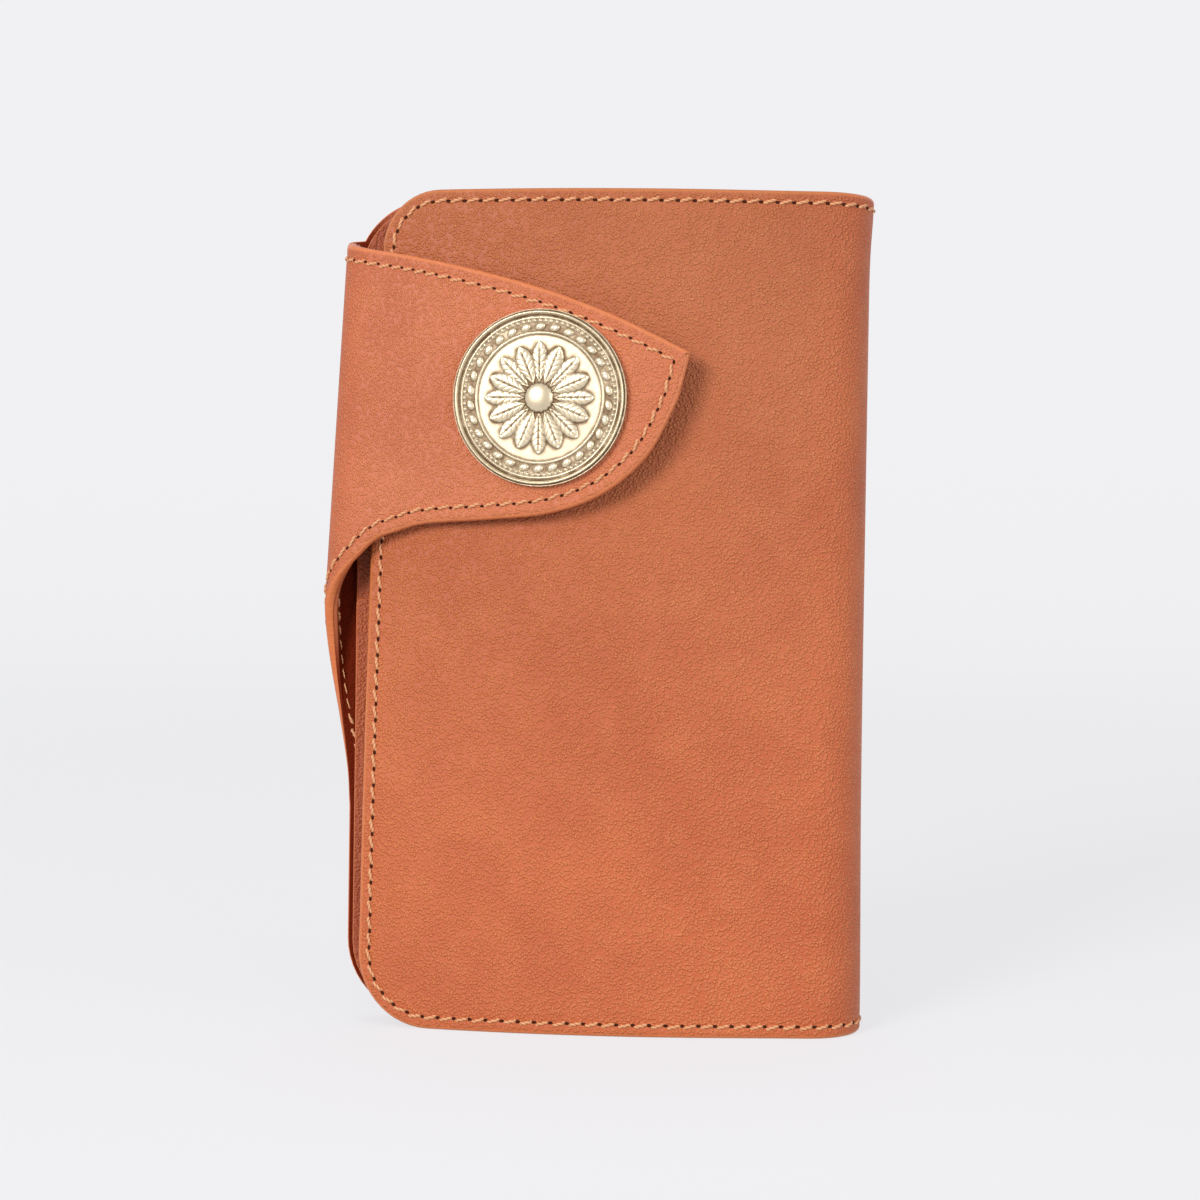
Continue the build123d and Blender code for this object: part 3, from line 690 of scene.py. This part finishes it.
class Nodes:
    """Short ways to add and join shader nodes."""

    def __init__(self, name):
        self.material = bpy.data.materials.new(name)
        self.material.use_nodes = True
        self.tree = self.material.node_tree
        self.shader = self.tree.nodes["Principled BSDF"]

    def add(self, kind, inputs=None, **settings):
        node = self.tree.nodes.new("ShaderNode" + kind)
        for key, value in settings.items():
            setattr(node, key, value)
        for key, value in (inputs or {}).items():
            self.put(node.inputs[key], value)
        return node

    def put(self, socket, value):
        if isinstance(value, bpy.types.NodeSocket):
            self.tree.links.new(value, socket)
        else:
            socket.default_value = value

    def math(self, operation, first, second=0.0):
        return self.add("Math", {0: first, 1: second}, operation=operation).outputs[0]

    def times(self, first, second):
        return self.math("MULTIPLY", first, second)

    def vector(self, operation, first, second):
        return self.add("VectorMath", {0: first, 1: second},
                        operation=operation).outputs[0]

    def split(self, place):
        return self.add("SeparateXYZ", {0: place}).outputs[:2]

    def mix(self, share, first, second, blend="MIX"):
        return self.add("Mix", {0: share, 6: first, 7: second}, data_type="RGBA",
                        blend_type=blend).outputs[2]

    def spread(self, value, low, high, to_low=0.0, to_high=1.0):
        values = dict(enumerate((value, low, high, to_low, to_high)))
        return self.add("MapRange", values, interpolation_type="SMOOTHSTEP").outputs[0]

    def noise(self, place, scale, detail=3.0, rough=0.55, distort=0.0):
        return self.add("TexNoise", {
            "Vector": place, "Scale": scale, "Detail": detail, "Roughness": rough,
            "Distortion": distort}).outputs["Fac"]

    def attribute(self, name):
        return self.add("Attribute", attribute_name=name).outputs["Fac"]

    def layout(self):
        """The laid-out place in millimetres."""
        uv = self.add("UVMap", uv_map="layout").outputs["UV"]
        return self.vector("MULTIPLY", uv, (LAYOUT_SCALE,) * 3)

    def bump(self, height, strength, distance):
        return self.add("Bump", {"Height": height, "Strength": strength,
                                           "Distance": distance}).outputs[0]

    def finish(self, color, rough, normal=None, shine=0.5, metal=0.0):
        """Sets the shader's inputs. Returns the material."""
        inputs = self.shader.inputs
        self.put(inputs["Base Color"], color)
        self.put(inputs["Roughness"], rough)
        self.put(inputs["Specular IOR Level"], shine)
        self.put(inputs["Metallic"], metal)
        if normal is not None:
            self.put(inputs["Normal"], normal)
        return self.material


GRAINS_PER_MM = 1.75
GRAIN_DEPTH = 0.00028     # in metres, as a bump wants it
LEATHER_SHINE = 0.38
TOP_SHADE_TONE = srgb(232, 245, 251)      # painted shade: the tone the front cover is darkened by towards its top
FLAP_SHEEN_TONE = srgb(238, 214, 190)    # painted sheen: the pale tone the flap is mixed towards
# painted shade in the strap's fold, on the lining
FOLD_SHADE_TONE = srgb(96, 22, 6)


def grain_height(n, place):
    """Small uneven domes with creases between them, 0 in a crease and about 1 on top."""
    bent = n.add("TexNoise", {"Vector": place, "Scale": 0.9, "Detail": 2.0})
    swirl = n.vector("MULTIPLY", bent.outputs["Color"], (0.15, 0.15, 0.0))
    cells = n.add("TexVoronoi", {
        "Vector": n.vector("ADD", place, swirl), "Scale": GRAINS_PER_MM}, feature="F1")
    domes = n.spread(cells.outputs["Distance"], 0.1, 0.72, 1.0, 0.0)
    pores = n.noise(place, 2.7, 2.0, 0.6)
    return n.math("ADD", n.times(domes, 0.8), n.times(pores, 0.35))


def leather(name, main, light, dark, burnt, grain=1.0, rough=0.5, fold=None, paint_light=False):
    """Pebbled, waxed hide: cloudy dye, creases darker and grain tops lighter (partly the hide's own
    tone, partly painted shade and highlight for the grain's relief), burnished edges; optionally
    painted shade on the front cover's upper part, a painted sheen on the flap and painted shade in
    the strap's fold.
    """
    n = Nodes(name)
    place = n.layout()
    broad = n.noise(place, 0.022, 4.0, 0.6, 0.4)
    cloud = n.noise(place, 0.11, 4.0, 0.6, 0.2)
    color = n.mix(n.spread(broad, 0.3, 0.7, 0.3, 1.0), dark, main)
    color = n.mix(n.spread(cloud, 0.4, 0.8, 0.0, 0.35), color, light)
    height = grain_height(n, place)
    # Grain creases darker and tops lighter: partly the hide's own tone, partly painted shade and
    # highlight standing in for the grain's relief.
    crease = n.mix(0.36 * grain, color, dark, "MULTIPLY")
    top = n.mix(0.35 * grain, color, light)
    color = n.mix(n.spread(height, 0.25, 0.7), crease, color)
    color = n.mix(n.spread(height, 0.7, 1.05, 0.0, 0.7), color, top)
    # Darker close to the edge, and burnished on it.
    rim = n.attribute("rim")
    ragged = n.math("ADD", n.attribute("edge"), n.times(n.noise(place, 0.35, 3.0), 1.6))
    color = n.mix(n.spread(ragged, 0.6, 3.0, 0.28, 0.0), color, dark)
    worn = n.mix(n.noise(place, 0.5, 3.0), burnt, light)
    color = n.mix(n.times(rim, 0.6), color, worn)
    shine = LEATHER_SHINE
    across, up = n.split(place)
    # Painted light: painted shade over the front cover's upper part, and a pale painted sheen over
    # the flap.
    if paint_light:
        on_front = n.spread(across, U_FRONT_END - 4, U_FRONT_END + 16, 1.0, 0.0)
        top_shade = n.times(on_front, n.spread(up, 20, 165))
        color = n.mix(top_shade, color, TOP_SHADE_TONE, "MULTIPLY")
        # Painted sheen: the flap is paled a little.
        waxed = n.spread(across, U_STRAP_MID - 4, U_FLAP + 6, 0.0, 0.045)
        color = n.mix(waxed, color, FLAP_SHEEN_TONE)
    # Painted shade in the strap's fold, with less gloss there.
    if fold:
        fold_shade = n.times(n.spread(across, fold[0] - 6, fold[0]),
                        n.spread(across, fold[1], fold[1] + 7, 1.0, 0.0))
        color = n.mix(n.times(fold_shade, 0.9), color, FOLD_SHADE_TONE)
        shine = n.math("SUBTRACT", shine, n.times(fold_shade, 0.36))
    rough_now = n.math("ADD", rough - 0.1, n.times(n.noise(place, 0.3, 4.0), 0.2))
    rough_now = n.math("SUBTRACT", rough_now, n.times(rim, 0.1))
    smooth_rim = n.math("SUBTRACT", 1.0, n.times(rim, 0.8))
    normal = n.bump(n.times(height, smooth_rim), grain, GRAIN_DEPTH)
    return n.finish(color, rough_now, normal, shine)


def thread_material():
    """Waxed thread, with painted shade in the grooves between its plies."""
    n = Nodes("waxed_thread")
    place = n.layout()
    tone = n.mix(n.noise(place, 0.8), srgb(228, 166, 118), srgb(212, 146, 98))
    # Painted shade in the grooves between the plies.
    groove = n.spread(n.attribute("ply"), -1.0, 0.2, 0.6, 0.0)
    color = n.mix(groove, tone, srgb(150, 84, 50))
    return n.finish(color, 0.55, n.bump(n.noise(place, 9.0), 0.4, 0.00008))


def plain(name, color, rough, metal=0.0, shine=0.5):
    """A finish with a little uneven tone and gloss."""
    n = Nodes(name)
    place = n.add("TexCoord").outputs["Object"]
    uneven = n.noise(place, 3000.0, 4.0, 0.6)
    dark = tuple(c * 0.7 for c in color[:3]) + (1,)
    return n.finish(n.mix(n.spread(uneven, 0.35, 0.7), color, dark),
                    n.spread(uneven, 0.3, 0.7, rough - 0.06, rough + 0.1),
                    shine=shine, metal=metal)


def woven(name, color, dark):
    """Fine ribbed cloth."""
    n = Nodes(name)
    wave_u, wave_z = (n.math("SINE", n.times(axis, 2 * math.pi / pitch))
                      for axis, pitch in zip(n.split(n.layout()), (0.7, 0.5)))
    weave = n.times(wave_u, wave_z)
    return n.finish(n.mix(n.spread(weave, -1, 1), dark, color), 0.85, n.bump(weave, 0.5, 0.0001))


def struck_metal():
    """Warm nickel, clean on its raised parts and stained in the hollows."""
    n = Nodes("concho_metal")
    place = n.add("TexCoord").outputs["Object"]
    stain = n.noise(place, 420.0, 4.0, 0.65)
    fine = n.noise(place, 2600.0, 3.0, 0.6)
    clean = n.mix(stain, srgb(224, 209, 180), srgb(198, 180, 148))
    deep = n.mix(stain, srgb(120, 94, 64), srgb(84, 62, 40))
    hollow = n.spread(n.attribute("cavity"), 0.05, 0.85)
    share = n.times(hollow, n.spread(stain, 0.2, 0.6, 0.6, 1.0))
    rough = n.math("ADD", 0.26, n.times(share, 0.25))
    return n.finish(n.mix(share, clean, deep), rough, n.bump(fine, 0.35, 0.00004), metal=0.6)


outer_hide = leather("outer_hide", srgb(209, 115, 65), srgb(222, 131, 79), srgb(192, 97, 52),
                     srgb(212, 118, 62), paint_light=True)
lining_leather = leather("lining_leather", srgb(184, 94, 52), srgb(200, 112, 68),
                         srgb(142, 64, 32), srgb(150, 72, 38), 0.7, 0.62,
                         fold=(U_STRAP - 2, U_STRAP + 5))
pocket_leather = leather("pocket_leather", srgb(190, 96, 52), srgb(206, 114, 68),
                         srgb(156, 70, 36), srgb(214, 122, 68), 0.8, 0.5)
waxed_thread = thread_material()
# Painted shade: the stitch holes are flat dark discs.
hole_shade = plain("stitch_hole_shade", srgb(66, 28, 14), 0.9, shine=0.1)
zip_tape = woven("zip_tape", srgb(128, 76, 48), srgb(92, 52, 32))
zip_metal = plain("zip_metal", srgb(206, 178, 116), 0.28, 1.0)
snap_metal = plain("snap_metal", srgb(198, 176, 132), 0.34, 1.0)
concho_metal = struck_metal()

# ---- the outer hide ----
THROUGH = HIDE + LINING + 0.2      # from the outer face to behind the lining
STRAP_BEND = 6.5                   # how far the strap's bending spreads, back and flap side
FLAP_BEND = 12.0
SPANS = [(U_FRONT_END, U_SPINE_END), (U_STRAP, U_FLAP)]


def metres(u, depth=0.0):
    """A point of the hide's path, or behind it, in metres."""
    x, y, nx, ny = on_path(np.array([u]))
    return Vector(((x[0] - nx[0] * depth) * MM, (y[0] - ny[0] * depth) * MM, PRESS_Z * MM))


def slanted(spread, side):
    """From the strap's middle towards the back (1) or flap (-1), along its pressed-in slant."""
    steps = Vector((1.0, side, -PRESS_SLOPE))
    return steps * (spread * MM / steps.length_squared)


# Each bend between two pieces: the bodies on either side of it and two points along it.
strap_middle = metres(U_STRAP_MID, THROUGH) + Vector((PRESS * MM, 0.0, 0.0))
spine_middle = metres(U_SPINE_MID, THROUGH)
BENDS = {
    "front": ("spine", "front", spine_middle, metres(U_FRONT_END)),
    "back": ("back", "spine", metres(U_SPINE_END), spine_middle),
    "strap": ("back", "strap", strap_middle + slanted(STRAP_BEND, 1), strap_middle),
    "flap": ("strap", "flap", strap_middle, strap_middle + slanted(FLAP_BEND, -1)),
}


def bend(piece):
    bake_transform(piece)


edges = lower_edge(), upper_edge()
LOOPS = {
    "front": piece_loop(0.0, U_SPINE_MID, edges, False, True),
    "back": piece_loop(U_SPINE_MID, U_CUT, edges, True, True),
    "strap": piece_loop(U_CUT, U_STRAP_MID, edges, True, True),
    "flap": piece_loop(U_STRAP_MID, U_TIP, edges, True, False),
}
HIDE_NODES = {"front": ["front_cover"], "back": ["back_cover", "spine_leather"],
              "strap": ["strap_leather"], "flap": ["flap_leather"]}
LINING_NODES = {"back": ["back_lining", "spine_lining"], "strap": ["strap_lining"],
                "flap": ["flap_lining"]}
THREAD_NODES = {"front": ["front_thread"], "back": ["back_thread"], "flap": ["flap_thread"]}
SEAM_INSET = {"front": 2.4, "back": 2.6, "strap": 3.0, "flap": 3.0}

for part, loop in LOOPS.items():
    hide = make_sheet("hide_" + part, place_on_hide, [loop], 0.0, -HIDE,
                      [outer_hide, lining_leather], rounding=1.0, under=0.3, groove=0.16,
                      bend_spans=SPANS)
    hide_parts(*HIDE_NODES[part])
    bend(hide)
    seam = seam_line(*loop, SEAM_INSET[part])
    stitches = make_stitches("stitches_" + part, place_on_hide, seam, -0.12)
    if part in THREAD_NODES:
        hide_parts(*THREAD_NODES[part])
    bend(stitches)


def square_loop(low_u, high_u, inset=0.4):
    """Outline of the spine's front lining, with a free edge beside the front cover."""
    top = HEIGHT - inset
    loop = [(low_u, inset), (high_u, inset), (high_u, top), (low_u, top), (low_u, inset)]
    points = np.array(split_fine(loop, SEAM_STEP)[:-1])
    return points, np.abs(points[:, 0] - high_u) < 1e-6


lining_loops = dict(LOOPS)
lining_loops["front"] = square_loop(U_FRONT_END - 2.5, U_SPINE_MID)
for part, loop in lining_loops.items():
    lining = make_sheet("lining_" + part, place_on_hide, [loop], -HIDE - 0.02, -HIDE - LINING,
                        [lining_leather], rounding=0.12, under=0.25, shrink=0.25,
                        bend_spans=SPANS)
    if part in LINING_NODES:
        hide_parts(*LINING_NODES[part])
    bend(lining)
    if part != "front":
        inside_seam = seam_line(*loop, SEAM_INSET[part])
        stitches = make_stitches("inner_stitches_" + part, place_on_hide, inside_seam,
                                 -HIDE - LINING + 0.1, side=-1)
        bend(stitches)


# ---- inside the back half ----
def uncut(loop):
    """An outline that has no cut."""
    return loop, np.zeros(len(loop), bool)


def facing(y, side):
    """Placement on a flat face at this Y that looks to the front (1) or the back (-1)."""
    def place(u, z, h):
        return np.stack([side * u, y - side * h, z], axis=1)
    return place


def leaning_out(foot, slope):
    """Relief for a leaf that leans out above its foot."""
    return lambda u, z: np.clip(z - foot, 0, None) * slope


card_loop = rounded_loop(card_low[::2], card_high[::2], (LEAF_CORNER, 1.0, 1.0, LEAF_CORNER))
card_panel = make_sheet("card_leaf", facing(card_low[1], 1), [uncut(card_loop)], 0.0,
                        -(card_high[1] - card_low[1]), [pocket_leather], rounding=0.25,
                        crease=0.12, u_shift=300.0)
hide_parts("card_panel")
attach(card_panel, "back")

SLOT_LEATHER = 0.8
SLOT_DEPTH = 28.0         # a slot's leaf leans out over this much below its mouth
SLOT_CORNERS = {1: (1.2, 1.0, 1.0, 1.2), 2: (1.2, 1.0, 1.2, 1.2), 3: (1.2, 1.0, 1.2, 1.2),
                4: (LEAF_CORNER, 1.0, 1.0, 1.2)}
for number, radii in SLOT_CORNERS.items():
    low, high = corners(f"card_slot_{number}")
    slope = (high[1] - low[1] - SLOT_LEATHER) / SLOT_DEPTH
    leaf = make_sheet(f"card_slot_leaf_{number}", facing(high[1] - SLOT_LEATHER, 1),
                      [uncut(rounded_loop(low[::2], high[::2], radii))], 0.0, -SLOT_LEATHER,
                      [pocket_leather], rounding=0.25, crease=0.12,
                      relief=leaning_out(high[2] - SLOT_DEPTH, slope),
                      u_shift=300.0 + 40 * number)
    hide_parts(f"card_slot_{number}")
    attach(leaf, "back")

# ---- inside the front half ----
coin_low, coin_high = corners("coin_pocket_panel")
COIN_FACE = -HIDE - 0.6   # the coin pocket's hollow lies between the hide and its wall
COIN_WALL = 0.8
coin_u = u_at(coin_high[0], 0.0, U_FRONT_END)
coin_loop = rounded_loop((0.4, coin_low[2]), (coin_u, coin_high[2]), (10.5, 1.0, 1.0, 10.5))
coin_loop[:, 0] += np.where(coin_loop[:, 0] < 30, [lean(z) for z in coin_loop[:, 1]], 0.0)
panel = make_sheet("coin_pocket_wall", place_on_hide, [uncut(coin_loop)], COIN_FACE,
                   COIN_FACE - COIN_WALL, [pocket_leather], rounding=0.2, under=0.25,
                   u_shift=500.0)
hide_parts("coin_pocket_panel")
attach(panel, "front")
panel_stitches = make_stitches("coin_pocket_stitches", place_on_hide,
                               seam_line(*uncut(coin_loop), 2.4), COIN_FACE - COIN_WALL + 0.1,
                               side=-1)
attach(panel_stitches, "front")

frame_low, frame_high = corners("zip_frame")
left_low, left_high = corners("zip_tape_left")
ZIP_X = (left_high[0] + corners("zip_tape_right")[0][0]) / 2
WINDOW_HALF = 5.7
on_border = facing(frame_high[1], -1)


def window_loop(past_side, past_end, radius):
    """A rounded outline round the zip, seen from the back half."""
    half = WINDOW_HALF + past_side
    return rounded_loop((-ZIP_X - half, left_low[2] - past_end),
                        (-ZIP_X + half, left_high[2] + past_end), (radius,) * 4)


def seen_from_behind(low, high, radius):
    return rounded_loop((-high[0], low[2]), (-low[0], high[2]), (radius,) * 4)


border_loops = [uncut(seen_from_behind(frame_low, frame_high, 1.0)),
                uncut(window_loop(0, 1, 2.5)[::-1].copy())]
zip_border = make_sheet("zip_border", on_border, border_loops, 0.0,
                        -(frame_high[1] - frame_low[1]), [pocket_leather], rounding=0.25,
                        u_shift=700.0)
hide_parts("zip_frame")
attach(zip_border, "front")
window_seam = window_loop(2, 3, 3.5)
window_seam = np.concatenate([window_seam, window_seam[:1]])
border_stitches = make_stitches("zip_border_stitches", on_border, [window_seam], -0.08)
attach(border_stitches, "front")
for side in ("left", "right"):
    low, high = corners("zip_tape_" + side)
    tape = make_sheet("tape_" + side, facing(high[1], -1),
                      [uncut(seen_from_behind(low, high, 0.6))], 0.0, -(high[1] - low[1]),
                      [zip_tape], rounding=0.1, under=0.1, spacing=2.0)
    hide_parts("zip_tape_" + side)
    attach(tape, "front")


# ---- the concho ----
DISC_FACE = 1.15          # the struck face's ground lies this far above the flap
RIDGES = ((0.85, 0.965, 0.026), (0.18, 0.905, 0.010), (0.30, 0.735, 0.013))
BEADS, BORDER_LEAVES, BOSS_BEADS = 84, 30, 16
PETALS, HUB, BOSS = 8, 0.17, 0.95
# Narrow petals below, broad ones above: share of a turn, reach, width and height.
PETAL_RINGS = ((0.5, 0.64, 0.30, 0.30), (0.0, 0.62, 0.36, 0.46))


def bump_at(value, middle, half):
    """1 at the middle, falling to 0 as a dome at half to either side."""
    return np.clip(1 - ((value - middle) / half) ** 2, 0, 1)


def concho_relief(s, angle):
    """Height of the struck face. s is the distance from its centre as a share of its radius."""
    height = np.full_like(s, DISC_FACE)
    for rise, middle, half in RIDGES:
        height += rise * np.exp(-((s - middle) / half) ** 2)
    beads = np.clip(np.cos(angle * BEADS), 0, 1)
    height += 0.38 * beads * bump_at(s, 0.872, 0.018) ** 0.5
    # Border of slanted leaves between the beads and the inner ring.
    wave = (angle * BORDER_LEAVES / (2 * math.pi) + (s - 0.8) * 2.2) % 1.0
    leaf = np.clip(1 - ((wave - 0.5) / 0.33) ** 2 - ((s - 0.803) / 0.042) ** 2, 0, 1)
    rib = np.exp(-((wave - 0.5) / 0.05) ** 2)
    height += np.sqrt(leaf) * (0.34 - 0.14 * rib)
    for shift, reach, width, rise in PETAL_RINGS:
        turn = (angle * PETALS / (2 * math.pi) + shift) % 1.0 - 0.5
        along = np.clip((s - HUB) / (reach - HUB), 0, 1)
        half = width * np.sin(math.pi * np.clip(along, 0.02, 1) ** 0.8) ** 0.75
        body = bump_at(turn, 0, np.maximum(half, 1e-3)) * (s < reach) * (s > 0.15)
        side_veins = ((np.abs(turn) * 2.2 - along * 3.0) % 0.5 - 0.25) / 0.05
        vein = np.exp(-(turn * s / 0.012) ** 2) + 0.5 * np.exp(-side_veins ** 2)
        petal = rise * np.sqrt(body) - 0.13 * vein * (body > 0.05)
        height = np.maximum(height, DISC_FACE + petal)
    height = np.maximum(height, DISC_FACE + BOSS * np.sqrt(bump_at(s, 0, HUB)))
    ring = np.clip(np.cos(angle * BOSS_BEADS), 0, 1) * bump_at(s, 0.195, 0.022)
    return np.maximum(height, DISC_FACE + 0.5 * np.sqrt(ring))


def hollows(face):
    """How deep each point of a struck face lies below the ground round it, 0 to 1."""
    smooth = sum(np.roll(face, k, axis=1) for k in range(-6, 7)) / 13
    smooth = sum(np.roll(smooth, k, axis=0) for k in range(-5, 6)) / 11
    return np.clip((smooth - face) / 0.22 + 0.35, 0, 1)


def make_concho():
    """The struck disc, seated on the flap's outer face."""
    low, high = corners("concho")
    radius = (high[2] - low[2]) / 2
    seat_u = u_at((low[0] + high[0]) / 2, U_FLAP, U_TIP)
    x, y = on_path(np.array([seat_u]))[:2]
    seat = np.array([x[0], y[0], (high[2] + low[2]) / 2])
    out = np.array([-math.sin(TILT), -math.cos(TILT), 0])
    along = np.array([math.cos(TILT), -math.sin(TILT), 0])
    up = np.array([0, 0, 1])
    rings, around = 150, 420
    shares = np.linspace(0, 1, rings) ** 0.85 * 0.99
    angles = circle(around)
    face = concho_relief(*np.meshgrid(shares, angles, indexing="ij"))
    rim = [face[-1] - 0.12, np.full(around, 1.5), np.full(around, 0.25), np.zeros(around)]
    heights = np.concatenate([face, np.array(rim)])[..., None]
    cavities = np.concatenate([hollows(face), np.full((len(rim), around), 0.35)])
    r = radius * np.concatenate([shares, [0.998, 1, 1, 0.985]])[:, None, None]
    cos, sin = np.cos(angles)[None, :, None], np.sin(angles)[None, :, None]
    vertices = (seat + r * (cos * along + sin * up) + heights * out).reshape(-1, 3)
    rows = np.arange(len(vertices)).reshape(-1, around).tolist()
    faces = [(0, rows[1][k], rows[1][(k + 1) % around]) for k in range(around)]
    faces += join_rows(rows[1:], [False] * around) + [tuple(rows[-1])]
    disc = new_mesh("concho_disc", vertices, faces, [concho_metal])
    attribute = disc.data.attributes.new("cavity", "FLOAT", "POINT")
    attribute.data.foreach_set("value", cavities.astype(np.float32).ravel())
    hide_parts("concho")
    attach(disc, "flap")


make_concho()

# ---- small metal parts keep their CAD shapes ----
SNAP_NODES = ("snap_stud", "stud_cap", "snap_socket", "concho_post")
ZIP_NODES = ("zip_teeth_left", "zip_teeth_right", "zip_stop_low", "zip_stop_high",
             "zip_slider", "zip_pull")
for nodes, material in ((SNAP_NODES, snap_metal), (ZIP_NODES, zip_metal)):
    for node in nodes:
        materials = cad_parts[node].data.materials
        materials.clear()
        materials.append(material)


# ---- floor, light and camera, in metres ----
FLOOR_R, BOWL_R, WALL_TOP = 1.2, 0.6, 3.0
LIGHTS = {                # place, size and power
    "key": ((-0.95, -1.3, 0.6), (0.6, 0.6), 22.0),
    "fill": ((0.7, -0.8, 0.3), (0.9, 0.5), 4.0),
    "top": ((0.0, 0.0, 1.2), (1.2, 1.2), 1.4),
}
LIGHTS_AIM = Vector((0, 0, 0.09))
SKY, SKY_POWER = (0.93, 0.93, 0.95, 1), 0.48
CAMERA_PLACE = Vector((-0.0157, -0.4453, 0.096))
CAMERA_AZIMUTH, CAMERA_DOWN, CAMERA_ROLL = -2.27, 1.08, 0.85       # degrees


def plain_stage():
    """A pale floor that curves up into a wall all round. It doesn't light the wallet."""
    n = Nodes("stage")
    n.put(n.shader.inputs["Emission Color"], srgb(241, 241, 243))
    away = n.add("VectorMath", {0: n.add("TexCoord").outputs["Object"]},
                 operation="LENGTH").outputs["Value"]
    n.put(n.shader.inputs["Emission Strength"], n.spread(away, 0.2, 1.6, 0.765, 0.825))
    material = n.finish(srgb(130, 130, 132), 0.9, shine=0.0)
    bowl = [(FLOOR_R + BOWL_R * math.sin(a), BOWL_R - BOWL_R * math.cos(a))
            for a in np.radians(np.linspace(0, 90, 24))]
    profile = [(0.0, 0.0), (0.3, 0.0)] + bowl + [(FLOOR_R + BOWL_R, WALL_TOP)]
    around = 96
    vertices = [(r * math.cos(a) / MM, r * math.sin(a) / MM, z / MM) for r, z in profile
                for a in circle(around)]
    rows = np.arange(len(vertices)).reshape(-1, around).tolist()
    floor = new_mesh("stage", vertices, join_rows(rows[::-1], [False] * around), [material])
    floor.visible_diffuse = False


def area_light(name, place, size, power):
    data = bpy.data.lights.new(name, "AREA")
    data.shape = "RECTANGLE"
    data.size, data.size_y = size
    data.energy = power
    lamp = bpy.data.objects.new(name, data)
    lamp.location = place
    lamp.rotation_euler = (LIGHTS_AIM - Vector(place)).to_track_quat("-Z", "Y").to_euler()
    scene.collection.objects.link(lamp)


plain_stage()
for name, (place, size, power) in LIGHTS.items():
    area_light(name, place, size, power)
world = bpy.data.worlds.new("studio")
world.use_nodes = True
world.node_tree.nodes["Background"].inputs[0].default_value = SKY
world.node_tree.nodes["Background"].inputs[1].default_value = SKY_POWER
scene.world = world

optics = bpy.data.cameras.new("camera")
optics.lens = 66.0
optics.sensor_width = 36.0
optics.clip_start = 0.01
optics.clip_end = 20.0
camera = bpy.data.objects.new("camera", optics)
scene.collection.objects.link(camera)
turn = (Matrix.Rotation(math.radians(CAMERA_AZIMUTH), 4, "Z")
        @ Matrix.Rotation(math.radians(90 - CAMERA_DOWN), 4, "X")
        @ Matrix.Rotation(math.radians(CAMERA_ROLL), 4, "Z"))
camera.matrix_world = Matrix.Translation(CAMERA_PLACE) @ turn
scene.camera = camera
scene.view_settings.view_transform = "Standard"
scene.view_settings.look = "None"

bpy.context.view_layer.update()
